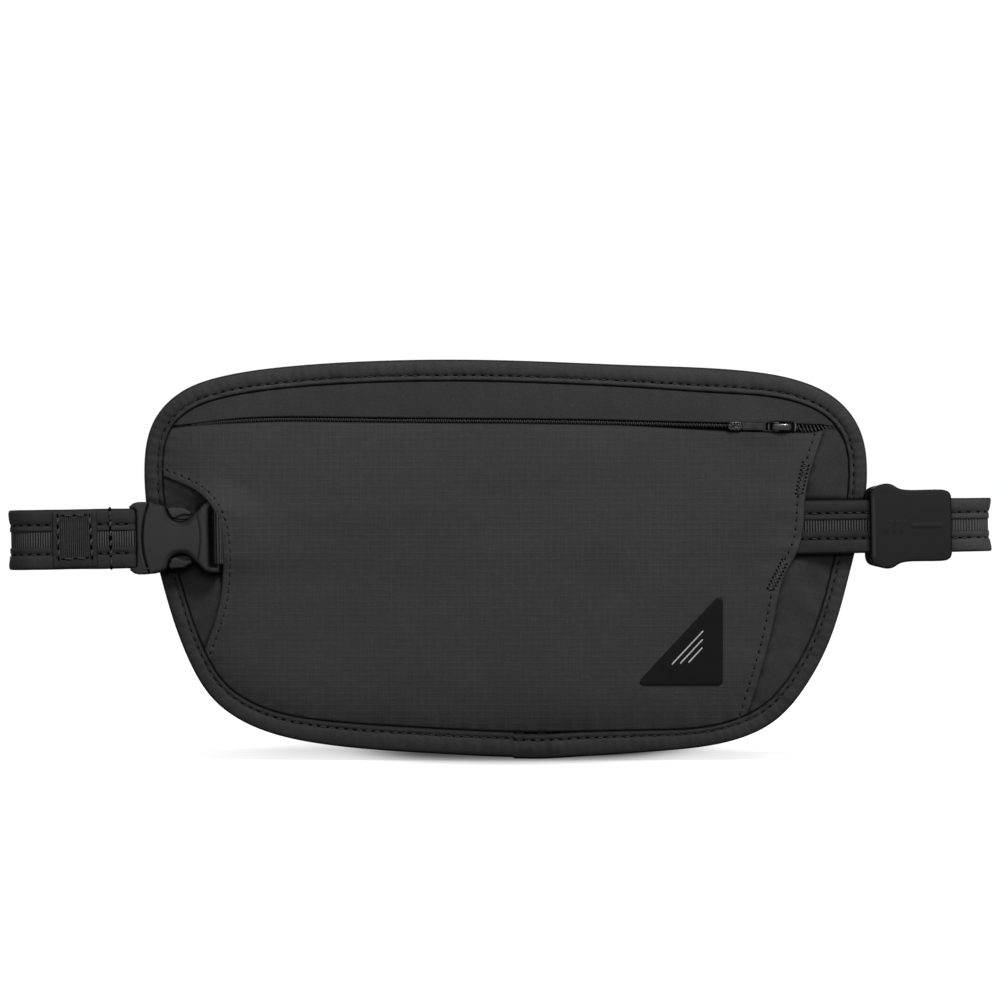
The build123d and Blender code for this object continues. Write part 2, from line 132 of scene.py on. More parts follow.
def smooth(points, step, closed=False):
    """Cubic curve through the points, as points about step apart."""
    knots = np.array(points, float)
    if closed:
        knots = np.vstack([knots, knots[:1]])
    place = np.r_[0, np.cumsum(np.linalg.norm(np.diff(knots, axis=0), axis=1))]
    gap = np.diff(place)
    count = len(knots)
    matrix = np.zeros((count, count))
    right = np.zeros_like(knots)
    slope = np.diff(knots, axis=0) / gap[:, None]
    for i in range(1, count - 1):
        matrix[i, i - 1:i + 2] = gap[i - 1], 2 * (gap[i - 1] + gap[i]), gap[i]
        right[i] = 6 * (slope[i] - slope[i - 1])
    matrix[0, 0] = 1
    if closed:
        matrix[0, -1] = -1
        matrix[-1, :2] = 2 * gap[0], gap[0]
        matrix[-1, -2:] += gap[-1], 2 * gap[-1]
        right[-1] = 6 * (slope[0] - slope[-1])
    else:
        matrix[-1, -1] = 1
    bend = np.linalg.solve(matrix, right)
    fine = np.linspace(0, place[-1], max(int(place[-1] / step * 4), 16))
    i = np.clip(np.searchsorted(place, fine) - 1, 0, count - 2)
    high = ((fine - place[i]) / gap[i])[:, None]
    low = 1 - high
    curve = low * knots[i] + high * knots[i + 1]
    curve += ((low ** 3 - low) * bend[i] + (high ** 3 - high) * bend[i + 1]) * gap[i][:, None] ** 2 / 6
    if closed:
        curve = curve[:-1]
    return resample(curve, max(int(round(place[-1] / step)), 3), closed)


def normals_of(line, closed=False):
    """Unit normals to the left of a line of plane points."""
    if closed:
        ahead = np.roll(line, -1, 0) - np.roll(line, 1, 0)
    else:
        ahead = np.gradient(line, axis=0)
    ahead /= np.linalg.norm(ahead, axis=1)[:, None]
    return np.stack([-ahead[:, 1], ahead[:, 0]], 1)


def nearest(points, line, closed=False):
    """Distance of each point from a line, and how far along the line its nearest point lies."""
    line = np.asarray(line, float)
    start = line if closed else line[:-1]
    run = (np.roll(line, -1, 0) if closed else line[1:]) - start
    span = np.maximum((run ** 2).sum(1), 1e-12)
    along = np.r_[0, np.cumsum(np.sqrt(span))]
    distance = np.empty(len(points))
    place = np.empty(len(points))
    for first in range(0, len(points), 2000):
        some = points[first:first + 2000]
        away = some[:, None] - start[None]
        share = np.clip((away * run).sum(2) / span, 0, 1)
        gap = ((away - share[..., None] * run) ** 2).sum(2)
        best = gap.argmin(1)
        rows = np.arange(len(some))
        distance[first:first + 2000] = np.sqrt(gap[rows, best])
        place[first:first + 2000] = along[best] + share[rows, best] * np.sqrt(span[best])
    return distance, place


def closest(points, lines, closed=False):
    """Distance of each point from the nearest of several lines."""
    return np.min([nearest(points, line, closed)[0] for line in lines], axis=0)


def inside(points, loop):
    """True for each point inside a closed loop."""
    x, z = points[:, 0], points[:, 1]
    found = np.zeros(len(points), bool)
    previous = loop[-1]
    for corner in loop:
        crosses = (corner[1] > z) != (previous[1] > z)
        rise = previous[1] - corner[1]
        where = corner[0] + (z - corner[1]) * (previous[0] - corner[0]) / (rise if rise else 1e-12)
        found ^= crosses & (x < where)
        previous = corner
    return found


def ease(value, low, high):
    """Smooth step of value from 0 at low to 1 at high."""
    t = np.clip((value - low) / (high - low), 0, 1)
    return t * t * (3 - 2 * t)


def bump(value, middle, half):
    """Bell curve of height 1 about middle."""
    return np.exp(-((value - middle) / half) ** 2)


def rough(points, wave_x, wave_z, seed):
    """Smooth noise between about -1 and 1, with its own wavelength along x and z."""
    return np.array([noise.noise((x / wave_x, z / wave_z, seed)) for x, z in points]) * 1.6


# ---------------------------------------------------------------- shape of the pouch
RIM = smooth(OUTLINE, 0.75, closed=True)
RIM_NORMALS = normals_of(RIM, closed=True)
LEFT_LINE = smooth(LEFT_HEM, 1.0)
RIGHT_LINE = smooth(RIGHT_HEM, 1.0)


def binding_width(points, outward_z):
    """Width of the binding at points of the outline, which face up or down there by outward_z."""
    x, z = points.T
    uneven = np.where(z > 0, 1.1 * bump(x, 80, 25), -2.3 * bump(x, 80, 32) - 1.1 * bump(x, -95, 30))
    return 7.0 + np.where(outward_z > 0, 1.2, 2.7) * outward_z ** 2 + uneven


RIM_WIDTH = binding_width(RIM, -RIM_NORMALS[:, 1])
RIM_STEP = length_of(np.vstack([RIM, RIM[:1]])) / len(RIM)


def rim_state(points):
    """Place along the outline, and distance in from the binding's inner edge."""
    inset, along = nearest(points, RIM, closed=True)
    width = np.interp(along / RIM_STEP, np.arange(len(RIM) + 1), np.r_[RIM_WIDTH, RIM_WIDTH[0]])
    return along, inset - width


def zip_line(x):
    """Height of the middle of the zip at x."""
    sag = 0.0013 * np.maximum(-75 - x, 0) ** 2
    return ZIP_HEIGHT - x * math.tan(ZIP_SLOPE) + 0.6 * bump(x, 25, 55) - sag


def strap_line(x):
    """Height of the middle of the strap at x."""
    return STRAP_HEIGHT + x * math.tan(STRAP_SLOPE)


def pillow(past):
    """Share of the crown reached at a distance past the binding's inner edge."""
    return 1 - np.exp(-np.maximum(past, 0) / 12)


def trench(past):
    """Groove in which the panels run under the binding."""
    return -0.9 * np.exp(-(np.clip(past, 0, None) / 0.3) ** 2)


def pouch_front(points):
    """Depth of the pouch's front face."""
    points = np.asarray(points, float)
    along, past = rim_state(points)
    x, z = points.T
    over_zip = z - zip_line(x)
    crown = CROWN_TOP + CROWN_BODY * (1 - np.exp(-np.maximum(-over_zip, 0) / 9))
    crown += 2.3 * bump(x, 99, 16) * bump(over_zip, 0, 7)
    band = np.exp(-(np.abs(z - strap_line(x)) / 13) ** 4)
    mouths = 0.5 + 2.0 * bump(x, -108, 18) + 0.5 * bump(x, 116, 20)
    corner = 2.6 * bump(x, -111.5, 7) * bump(z, 21.5, 7.5)
    pucker = 0.20 * np.sin(along * 0.72 + 2.2 * np.sin(along * 0.061)) * np.exp(-np.abs(past) / 5)
    drape = 0.55 * rough(points + points[:, ::-1] * (0.35, -0.2), 60, 24, 1.5) * ease(past, 0, 22)
    drape += 0.25 * rough(points + points[:, ::-1] * (-0.5, 0.3), 26, 12, 7.5) * ease(past, 0, 8)
    drape += 0.55 * rough(points, 24, 5, 2.4) * bump(x, 108, 14) * bump(z, 13, 20)
    quiet = 1 - 0.8 * bump(over_zip, 0, 5)
    depth = RIM_FRONT + crown * pillow(past) + band * mouths * pillow(past) + corner
    return depth + (pucker + drape * 0.6) * quiet + trench(past)


def pouch_middle(points):
    """Depth of the panel behind the front panel."""
    points = np.asarray(points, float)
    along, past = rim_state(points)
    x, z = points.T
    folds = 0.75 * rough(points @ np.array([[0.8, 0.6], [-0.6, 0.8]]), 30, 7, 3.3) * ease(past, 0, 7)
    pucker = 0.22 * np.sin(along * 0.8 + 1.5 * np.sin(along * 0.09)) * np.exp(-np.abs(past) / 4)
    rise = 2.0 * bump(zip_line(x) - z, 0, 9)
    return RIM_FRONT - 0.1 + (1.5 + rise) * pillow(past) + (folds + pucker) * 0.8 + trench(past)


def pouch_back(points):
    """Depth of the pouch's back face."""
    points = np.asarray(points, float)
    along, past = rim_state(points)
    pucker = 0.18 * np.sin(along * 0.7) * np.exp(-np.abs(past) / 5)
    folds = 0.3 * rough(points, 45, 20, 9.1) * ease(past, 0, 20)
    return RIM_BACK * (1 - pillow(past)) + 0.35 + pucker + folds - 0.25 * trench(past)


# ---------------------------------------------------------------- meshes
def mesh_of(name, points, faces):
    """New mesh from points in millimetres."""
    mesh = bpy.data.meshes.new(name)
    mesh.from_pydata((np.asarray(points) * 0.001).tolist(), [], [list(map(int, face)) for face in faces])
    return mesh


def put(name, points, faces, material, body, slot, replaces=(), cloth=None, shade=1.0):
    """Adds a smooth mesh piece that rides on a body, unless the body is None.

    cloth holds each point's place on the flat cloth, and shade scales its colour: painted shade in
    creases, along edges and where other parts lie over it, and painted highlights where it is above 1.
    """
    mesh = mesh_of(name, points, faces)
    mesh.update()
    mesh.shade_smooth()
    if cloth is not None:
        place = np.zeros((len(points), 3))
        place[:, :2] = np.asarray(cloth) * 0.001
        mesh.attributes.new("cloth", "FLOAT_VECTOR", "POINT").data.foreach_set("vector", place.ravel())
    shades = np.broadcast_to(np.asarray(shade, float), len(points))
    mesh.attributes.new("shade", "FLOAT", "POINT").data.foreach_set("value", np.ascontiguousarray(shades))
    mesh.materials.append(material)
    piece = bpy.data.objects.new(name, mesh)
    bpy.context.scene.collection.objects.link(piece)
    if body:
        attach(piece, body)
    if replaces:
        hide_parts(*replaces)
    return piece


def standing(plane, depth):
    """Front-view points at the given depths, as points in space."""
    return np.stack([plane[:, 0], -np.asarray(depth), plane[:, 1]], 1)


def fill(loop, rings, spacing, holes=()):
    """Triangles inside a loop, with rows of points at the rings' distances from its edges."""
    borders = [np.asarray(loop, float)] + [np.asarray(hole, float) for hole in holes]
    points = list(borders)
    edges = []
    first = 0
    for border in borders:
        count = len(border)
        edges += [(first + i, first + (i + 1) % count) for i in range(count)]
        first += count
    for border in borders:
        across = normals_of(border, closed=True)
        for ring in rings:
            for side in (1, -1):
                points.append(border + across * ring * side)
    low, high = borders[0].min(0), borders[0].max(0)
    columns = np.arange(low[0], high[0], spacing)
    rows = np.arange(low[1], high[1], spacing)
    grid = np.stack(np.meshgrid(columns, rows), -1)
    grid[1::2, :, 0] += spacing / 2
    extra = np.vstack(points[len(borders):]) if rings else np.zeros((0, 2))
    margin = (rings[-1] if rings else 0) + spacing * 0.4

    def clear(candidates, least):
        good = inside(candidates, borders[0])
        for hole in borders[1:]:
            good &= ~inside(candidates, hole)
        for border in borders:
            distance, _ = nearest(candidates[good], border, closed=True)
            good[good] = distance > least if np.isscalar(least) else distance > least[good]
        return good

    if len(extra):
        sizes = [len(border) for border in borders for ring in rings for side in (1, -1)]
        wanted = [ring for border in borders for ring in rings for side in (1, -1)]
        extra = extra[clear(extra, np.repeat(wanted, sizes) * 0.93)]
    grid = grid.reshape(-1, 2)
    grid = grid[clear(grid, margin)]
    everything = np.vstack(borders + [extra, grid])
    found = delaunay_2d_cdt([Vector(p) for p in everything], edges, [], 1, 1e-6)
    plane = np.array([tuple(p) for p in found[0]])
    faces = np.array([face for face in found[2] if len(face) == 3])
    middle = plane[faces].mean(1)
    keep = inside(middle, borders[0])
    for hole in borders[1:]:
        keep &= ~inside(middle, hole)
    faces = faces[keep]
    used = np.unique(faces)
    renumber = np.full(len(plane), -1)
    renumber[used] = np.arange(len(used))
    plane, faces = plane[used], renumber[faces]
    return plane, faces, closest(plane, borders, closed=True)


def relief(loop, front, back, rings=(0.15, 0.5, 1.0), spacing=2.0, holes=()):
    """Closed body between two faces given as depth functions of plane points and edge distance."""
    plane, faces, gap = fill(loop, rings, spacing, holes)
    ahead, behind = front(plane, gap), back(plane, gap)
    edge = gap < 1e-4
    ahead[edge] = behind[edge] = (ahead[edge] + behind[edge]) / 2
    back_index = np.where(edge, np.arange(len(plane)), len(plane) + np.cumsum(~edge) - 1)
    points = np.vstack([standing(plane, ahead), standing(plane[~edge], behind[~edge])])
    triangles = np.vstack([faces, back_index[faces][:, ::-1]])
    return points, triangles, np.vstack([plane, plane[~edge]])


def skin(grid, wrap_along=False, wrap_round=True):
    """Quads over a grid of points [along, round], with end caps where a tube is open."""
    along, around = grid.shape[:2]
    i = np.arange(along if wrap_along else along - 1)
    j = np.arange(around if wrap_round else around - 1)
    i, j = np.meshgrid(i, j, indexing="ij")
    up, over = (i + 1) % along, (j + 1) % around
    quads = np.stack([i * around + j, up * around + j, up * around + over, i * around + over], -1)
    faces = quads.reshape(-1, 4).tolist()
    if wrap_round and not wrap_along:
        faces.append(list(range(around)))
        faces.append(list(range((along - 1) * around, along * around))[::-1])
    return grid.reshape(-1, 3), faces


THREAD_SIDES = 6


def threads(middles, ahead, out, length, radius, lift):
    """Short lengths of thread that rise out of the cloth between two needle holes."""
    rings = np.array([-1.0, -0.72, -0.3, 0.3, 0.72, 1.0])
    turn = turns(THREAD_SIDES)
    side = np.cross(ahead, out)
    reach = np.broadcast_to(length, len(middles))[:, None] / 2
    sections = []
    for at in rings:
        centre = middles + ahead * (at * reach) + out * (lift * (1 - at * at * 1.25))
        size = radius * math.sqrt(max(1 - 0.8 * at * at, 0.1))
        ring = centre[:, None] + size * (
            np.cos(turn)[None, :, None] * side[:, None] + np.sin(turn)[None, :, None] * out[:, None])
        sections.append(ring)
    return repeated(np.stack(sections, 1))


def repeated(grids):
    """One mesh out of many equal tubes."""
    part, quads = skin(grids[0])
    count = len(part)
    faces = [[base + corner for corner in quad]
             for base in range(0, count * len(grids), count) for quad in quads]
    return grids.reshape(-1, 3), faces


def pits(middles, ahead, out, length, width):
    """Lens-shaped needle holes lying in the cloth, near black as painted shade."""
    turn = turns(10)
    side = np.cross(ahead, out)
    sections = []
    for share, level in ((0.02, 0.07), (0.6, 0.065), (1.0, 0.0), (0.5, -0.3), (0.02, -0.35)):
        ring = middles[:, None] + out[:, None] * level + share * (
            np.cos(turn)[None, :, None] * ahead[:, None] * length / 2
            + np.sin(turn)[None, :, None] * side[:, None] * width / 2)
        sections.append(ring)
    return repeated(np.stack(sections, 1))


def sew(holes, out, slant=0.12, pit=1.15, radius=0.23, lift=0.2, pit_width=0.55):
    """Threads between needle holes, and the holes: two meshes for a row of points in space."""
    run = holes[1:] - holes[:-1]
    length = np.linalg.norm(run, axis=1)
    ahead = run / length[:, None]
    facing = out[1:] + out[:-1]
    facing -= (facing * ahead).sum(1)[:, None] * ahead
    facing /= np.linalg.norm(facing, axis=1)[:, None]
    side = np.cross(ahead, facing)
    lean = ahead + side * slant
    lean /= np.linalg.norm(lean, axis=1)[:, None]
    middles = (holes[1:] + holes[:-1]) / 2
    thread = threads(middles, lean, facing, length - pit * 0.75, radius, lift)
    at_hole = np.vstack([ahead[:1], ahead])
    hole_out = out - (out * at_hole).sum(1)[:, None] * at_hole
    hole_out /= np.linalg.norm(hole_out, axis=1)[:, None]
    return thread, pits(holes, at_hole, hole_out, pit, pit_width)


def bend_with_strap(piece):
    """Bakes a piece's placement into its mesh, leaving it on no body."""
    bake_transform(piece)


def sewing(name, rows, body, shade=0.62, replaces=()):
    """Adds the threads and needle holes of rows of stitches, which ride on no body if body is None."""
    kinds = (("threads", sewing_thread, replaces), ("holes", needle_hole, ()))
    for part, (kind, material, nodes) in enumerate(kinds):
        points, faces = joined([row[part] for row in rows])
        piece = put(name + "_" + kind, points, faces, material, body, "stitching", nodes, shade=shade)
        if body is None:
            bend_with_strap(piece)


def forward(count):
    """Unit vectors out of the front face."""
    return np.tile((0.0, -1.0, 0.0), (count, 1))


def row_holes(line, pitch):
    """Needle holes evenly spaced along a line."""
    return resample(line, max(int(round(length_of(line) / pitch)), 2) + 1)


def hole_wave(along, total, pitch):
    """1 at each needle hole of a row of the given total length, falling to 0 between them."""
    step = total / max(int(round(total / pitch)), 2)
    return np.abs(np.cos(along * math.pi / step)) ** 10


def joined(parts):
    """One list of points and faces, and of shades if the parts have them, out of several."""
    points, faces, base = [], [], 0
    for part in parts:
        points.append(part[0])
        faces += [[base + int(corner) for corner in face] for face in part[1]]
        base += len(part[0])
    if len(parts[0]) == 2:
        return np.vstack(points), faces
    return np.vstack(points), faces, np.concatenate([part[2] for part in parts])


def edge_shade(gap, dark=0.7, reach=0.22):
    """Painted shade of points at a distance in from an edge, darkest at the edge."""
    return 1 - dark * np.exp(-(np.maximum(gap, 0) / reach) ** 2)


# ---------------------------------------------------------------- materials
class Shader:
    """A node material built up from a few calls."""

    def __init__(self, name, colour, roughness, specular=0.5, **more):
        self.material = bpy.data.materials.new(name)
        self.material.use_nodes = True
        self.tree = self.material.node_tree
        self.surface = self.tree.nodes["Principled BSDF"]
        self.surface.inputs["Base Color"].default_value = (*colour, 1)
        self.surface.inputs["Roughness"].default_value = roughness
        self.surface.inputs["Specular IOR Level"].default_value = specular
        for key, value in more.items():
            self.surface.inputs[key].default_value = value
        self.colour = colour
        self.heights = []

    def node(self, kind, **settings):
        made = self.tree.nodes.new("ShaderNode" + kind)
        for key, value in settings.items():
            setattr(made, key, value)
        return made

    def wire(self, source, target):
        self.tree.links.new(source, target)

    def maths(self, operation, *values):
        made = self.node("Math", operation=operation)
        for socket, value in zip(made.inputs, values):
            if isinstance(value, (int, float)):
                socket.default_value = value
            else:
                self.wire(value, socket)
        return made.outputs[0]

    def place(self, attribute="cloth"):
        """Sockets with each point's coordinates on the flat cloth, or in the object."""
        if attribute:
            source = self.node("Attribute", attribute_name=attribute).outputs["Vector"]
        else:
            source = self.node("TexCoord").outputs["Object"]
        split = self.node("SeparateXYZ")
        self.wire(source, split.inputs[0])
        return split.outputs[0], split.outputs[1], split.outputs[2]

    def grain(self, scale, detail=3.0, rough_share=0.5):
        source = self.node("TexCoord").outputs["Object"]
        made = self.node("TexNoise")
        made.inputs["Scale"].default_value = scale
        made.inputs["Detail"].default_value = detail
        made.inputs["Roughness"].default_value = rough_share
        self.wire(source, made.inputs["Vector"])
        return made.outputs["Fac"]

    def span(self, value, low, high, to_low, to_high):
        made = self.node("MapRange")
        self.wire(value, made.inputs["Value"])
        for key, number in zip(("From Min", "From Max", "To Min", "To Max"), (low, high, to_low, to_high)):
            made.inputs[key].default_value = number
        return made.outputs["Result"]

    def speckle(self, to_low, to_high, scale, detail=3.0, rough_share=0.5):
        """Noise over the object, from about one value to about another."""
        return self.span(self.grain(scale, detail, rough_share), 0.3, 0.7, to_low, to_high)

    def shaded(self, factor):
        """A factor times the painted shade and highlights stored with the mesh."""
        return self.maths("MULTIPLY", factor, self.node("Attribute", attribute_name="shade").outputs["Fac"])

    def tint(self, factor):
        """Multiplies the base colour by a factor that varies over the surface."""
        made = self.node("VectorMath", operation="SCALE")
        made.inputs[0].default_value = self.colour
        self.wire(factor, made.inputs["Scale"])
        self.wire(made.outputs[0], self.surface.inputs["Base Color"])

    def roughen(self, value):
        self.wire(value, self.surface.inputs["Roughness"])

    def raise_by(self, height, distance):
        """Adds a height pattern, distance metres tall."""
        self.heights.append((height, distance))

    def done(self):
        normal = None
        for height, distance in self.heights:
            made = self.node("Bump")
            made.inputs["Strength"].default_value = 1.0
            made.inputs["Distance"].default_value = distance
            self.wire(height, made.inputs["Height"])
            if normal is not None:
                self.wire(normal, made.inputs["Normal"])
            normal = made.outputs["Normal"]
        if normal is not None:
            self.wire(normal, self.surface.inputs["Normal"])
        return self.material


def stripes(shader, place, pitch):
    """Sine waves of the given pitch in metres along one direction, from -1 to 1."""
    return shader.maths("SINE", shader.maths("MULTIPLY", place, math.tau / pitch))


def grid_lines(shader, place, pitch, width):
    """1 on thin lines that repeat at the pitch, 0 between them."""
    wave = shader.maths("ABSOLUTE", shader.maths("SINE", shader.maths("MULTIPLY", place, math.pi / pitch)))
    return shader.span(wave, 0.0, width, 1.0, 0.0)


def cloth_material(name, colour, pitch=0.45e-3, relief_height=0.03e-3, mottle=0.10, roughness=0.85,
                   sheen=0.04, specular=0.12):
    """Plain woven cloth: fine weave, mottled colour, and a soft sheen."""
    shader = Shader(name, colour, roughness, specular, **{"Sheen Weight": sheen, "Sheen Roughness": 0.5})
    u, v, _ = shader.place()
    weave = shader.maths("MULTIPLY", stripes(shader, u, pitch), stripes(shader, v, pitch))
    shader.raise_by(weave, relief_height)
    shader.raise_by(shader.grain(220, 4), 0.12e-3)
    patches = shader.speckle(1 - mottle, 1 + mottle, 38, 4, 0.6)
    thread = shader.speckle(0.86, 1.14, 1300, 2, 0.6)
    shader.tint(shader.shaded(shader.maths("MULTIPLY", patches, thread)))
    return shader.done()


def streaks(shader, u, v, long_way, short_way, seed):
    """Noise drawn out along one direction of the cloth, like uneven threads, from 0 to 1."""
    place = shader.node("CombineXYZ")
    shader.wire(shader.maths("MULTIPLY", u, 1 / short_way), place.inputs[0])
    shader.wire(shader.maths("MULTIPLY", v, 1 / long_way), place.inputs[1])
    place.inputs[2].default_value = seed
    made = shader.node("TexNoise")
    made.inputs["Scale"].default_value = 1.0
    made.inputs["Detail"].default_value = 2.0
    shader.wire(place.outputs[0], made.inputs["Vector"])
    return shader.span(made.outputs["Fac"], 0.3, 0.7, 0.0, 1.0)


def ripstop_material():
    """Ripstop cloth: a plain weave crossed by heavier threads in a small grid."""
    colour = (0.043, 0.043, 0.0434)
    shader = Shader("ripstop_cloth", colour, 0.8, 0.12, **{"Sheen Weight": 0.02, "Sheen Roughness": 0.45})
    u, v, _ = shader.place()
    weave = shader.maths("MULTIPLY", stripes(shader, u, 0.5e-3), stripes(shader, v, 0.5e-3))
    lines = shader.maths("MAXIMUM", grid_lines(shader, u, 2.95e-3, 0.6), grid_lines(shader, v, 2.36e-3, 0.6))
    upright = streaks(shader, u, v, 7e-3, 0.75e-3, 2.0)
    level = streaks(shader, v, u, 7e-3, 0.75e-3, 5.0)
    crossing = shader.maths("MULTIPLY", upright, level)
    shader.raise_by(weave, 0.02e-3)
    shader.raise_by(lines, 0.05e-3)
    shader.raise_by(crossing, 0.05e-3)
    patches = shader.speckle(0.93, 1.07, 26, 4, 0.6)
    fading = shader.span(shader.grain(24, 2, 0.5), 0.35, 0.65, 0.15, 1.0)
    strong = shader.maths("MULTIPLY", shader.maths("SUBTRACT", lines, 0.5), fading)
    uneven = shader.maths("MULTIPLY", shader.maths("SUBTRACT", crossing, 0.3), 0.26)
    lighter = shader.maths("ADD", shader.maths("MULTIPLY_ADD", strong, 0.09, 1.0), uneven)
    shader.tint(shader.shaded(shader.maths("MULTIPLY", patches, lighter)))
    return shader.done()


def mesh_material():
    """Spacer mesh: small round holes in a knitted face."""
    shader = Shader("spacer_mesh", (0.030, 0.030, 0.031), 0.85, 0.2, **{"Sheen Weight": 0.25})
    u, v, _ = shader.place()
    pitch = 2.2e-3
    across = shader.maths("COSINE", shader.maths("MULTIPLY", u, math.tau / pitch))
    down = shader.maths("COSINE", shader.maths("MULTIPLY", v, math.tau / (pitch * 0.9)))
    holes = shader.span(shader.maths("MULTIPLY", across, down), 0.35, 0.75, 0.0, 1.0)
    shader.raise_by(holes, -0.35e-3)
    shader.raise_by(shader.grain(900, 3), 0.15e-3)
    # the holes are darkened: painted shade in them
    shader.tint(shader.span(holes, 0, 1, 1.05, 0.45))
    return shader.done()


def plastic_material(name, colour, roughness, texture, specular=0.1):
    """Moulded plastic with a fine spark-eroded grain and slightly polished patches."""
    shader = Shader(name, colour, roughness, specular)
    shader.raise_by(shader.grain(2600, 2, 0.5), texture)
    shader.raise_by(shader.grain(160, 2), 0.03e-3)
    shader.roughen(shader.speckle(roughness - 0.06, roughness + 0.07, 70, 4, 0.6))
    shader.tint(shader.shaded(shader.speckle(0.94, 1.06, 45, 3)))
    return shader.done()


def metal_material():
    """Black plated metal, rubbed a little brighter in places."""
    shader = Shader("black_plate", (0.09, 0.09, 0.093), 0.28, 0.5, Metallic=1.0)
    shader.roughen(shader.speckle(0.18, 0.34, 400, 4, 0.6))
    shader.tint(shader.shaded(shader.speckle(0.8, 1.2, 300, 3)))
    shader.raise_by(shader.grain(1800, 2), 0.01e-3)
    return shader.done()


def thread_material():
    """Twisted sewing thread."""
    shader = Shader("sewing_thread", (0.078, 0.078, 0.0787), 0.7, 0.12)
    x, y, z = shader.place(None)
    twist = shader.maths("ADD", shader.maths("ADD", x, z), y)
    shader.raise_by(stripes(shader, twist, 0.35e-3), 0.04e-3)
    shader.tint(shader.shaded(shader.speckle(0.8, 1.2, 200, 2)))
    return shader.done()


def hole_material():
    """Near-black painted shade for the unlit inside of a needle hole."""
    shader = Shader("needle_hole", (0.002, 0.002, 0.002), 1.0, 0.0)
    shader.tint(shader.speckle(0.7, 1.3, 900, 2))
    return shader.done()


def badge_material():
    """Satin rubbery film."""
    shader = Shader("badge_film", (0.0065, 0.0065, 0.0065), 0.55, 0.14)
    shader.raise_by(shader.grain(1500, 3), 0.02e-3)
    shader.roughen(shader.speckle(0.44, 0.56, 60, 3))
    shader.tint(shader.speckle(0.9, 1.1, 90, 2))
    return shader.done()


def print_material():
    """Matt white print."""
    shader = Shader("white_print", (0.5, 0.5, 0.5), 0.6, 0.3)
    shader.raise_by(shader.grain(1800, 3), 0.015e-3)
    shader.tint(shader.speckle(0.94, 1.03, 300, 3))
    return shader.done()


smooth_cloth = cloth_material("smooth_cloth", (0.034, 0.034, 0.0343))
binding_cloth = cloth_material("binding_cloth", (0.037, 0.037, 0.0374), 0.6e-3, 0.05e-3, 0.12, 0.75)
sleeve_cloth = cloth_material("sleeve_cloth", (0.028, 0.028, 0.0283), 0.5e-3, 0.04e-3, 0.12, 0.7)
lining_cloth = cloth_material("lining_cloth", (0.07, 0.07, 0.074), 0.4e-3, 0.02e-3, 0.05, 0.5)
# zipper tape: black tape, coloured darker than the cloth as painted shade in the zip's gap
tape_cloth = cloth_material("tape_cloth", (0.005, 0.005, 0.005), 0.7e-3, 0.06e-3, 0.1, 0.9, 0.0, 0.05)
ribbed_webbing = cloth_material("ribbed_webbing", (0.040, 0.040, 0.0404), 0.4e-3, 0.05e-3, 0.1, 0.7)
ripstop = ripstop_material()
spacer_mesh = mesh_material()
buckle_plastic = plastic_material("buckle_plastic", (0.0365, 0.0365, 0.0368), 0.55, 0.03e-3)
adjuster_plastic = plastic_material("adjuster_plastic", (0.0190, 0.0190, 0.0192), 0.55, 0.012e-3)
coil_nylon = plastic_material("coil_nylon", (0.03, 0.03, 0.03), 0.35, 0.005e-3, 0.3)
black_metal = metal_material()
sewing_thread = thread_material()
needle_hole = hole_material()
badge_film = badge_material()
white_print = print_material()


# ---------------------------------------------------------------- pouch pieces
def rim_inset(distance):
    """The outline drawn in by a distance."""
    return RIM + RIM_NORMALS * np.reshape(distance, (-1, 1))


def arc_between(loop, start, end):
    """Part of a closed loop, in its own direction, between the points nearest to start and end."""
    first = int(np.linalg.norm(loop - np.array(start), axis=1).argmin())
    last = int(np.linalg.norm(loop - np.array(end), axis=1).argmin())
    count = (last - first) % len(loop)
    return loop[(first + np.arange(count + 1)) % len(loop)]


def zip_edge(side):
    """Folded fabric edge above (+1) or below (-1) the zip, from left to right."""
    x = np.linspace(-131, 131, 240)
    if side > 0:
        gap = 0.24 + 0.75 * ease(x, -124, -98) + 0.25 * bump(x, 106, 14) - 0.85 * ease(x, 122, 129.5)
    else:
        gap = 0.24 + 0.55 * ease(x, -124, -98) + 1.3 * ease(x, 40, 92) - 1.95 * ease(x, 116, 129.5)
    return np.stack([x, zip_line(x) + side * gap], 1)


def offset_line(line, distance):
    """An open line moved to its left by a distance."""
    return line + normals_of(line) * distance


UPPER_EDGE = zip_edge(1)
LOWER_EDGE = zip_edge(-1)
FREE_EDGES = (LEFT_LINE, RIGHT_LINE, LOWER_EDGE)
UNDER_BINDING = rim_inset(RIM_WIDTH - 1.2)
PANEL_RINGS = (0.25, 0.55, 0.85, 1.1, 1.3, 1.5, 1.75, 2.1, 2.6, 3.2)
HEM_ROWS = []
for hem_line, hem_side in ((LEFT_LINE, 2.9), (RIGHT_LINE, -3.1)):
    hem_row = offset_line(hem_line, hem_side)
    hem_row = hem_row[inside(hem_row, rim_inset(RIM_WIDTH - 1.2))]
    HEM_ROWS.append(hem_row[hem_row[:, 1] < zip_line(hem_row[:, 0]) - 2.0])


def under_shade(points):
    """Painted shadow on the pouch close to the edges of the strap and the buckle that lie over it."""
    points = np.asarray(points, float)
    x, z = points.T
    level = np.stack([x, z - strap_line(x)], 1)
    strap = bump(np.abs(level[:, 1]), 10.6, 0.75) * ease(x, 104, 107)
    below = 1.6 * bump(nearest(level, smooth(BUCKLE_BELOW, 0.5))[0], 0, 1.4)
    above = 0.6 * bump(nearest(level, smooth(BUCKLE_BELOW, 0.5) * (1, -1))[0], 0, 0.7)
    return 1 - 0.96 * np.clip(np.max([1.5 * strap, below, above], axis=0), 0, 1)


def rim_shade(points):
    """Painted shade of a panel's points, dark where the panel runs under the binding, the strap or the
    buckle.
    """
    return edge_shade(rim_state(points)[1], 0.98, 0.36) * under_shade(points)


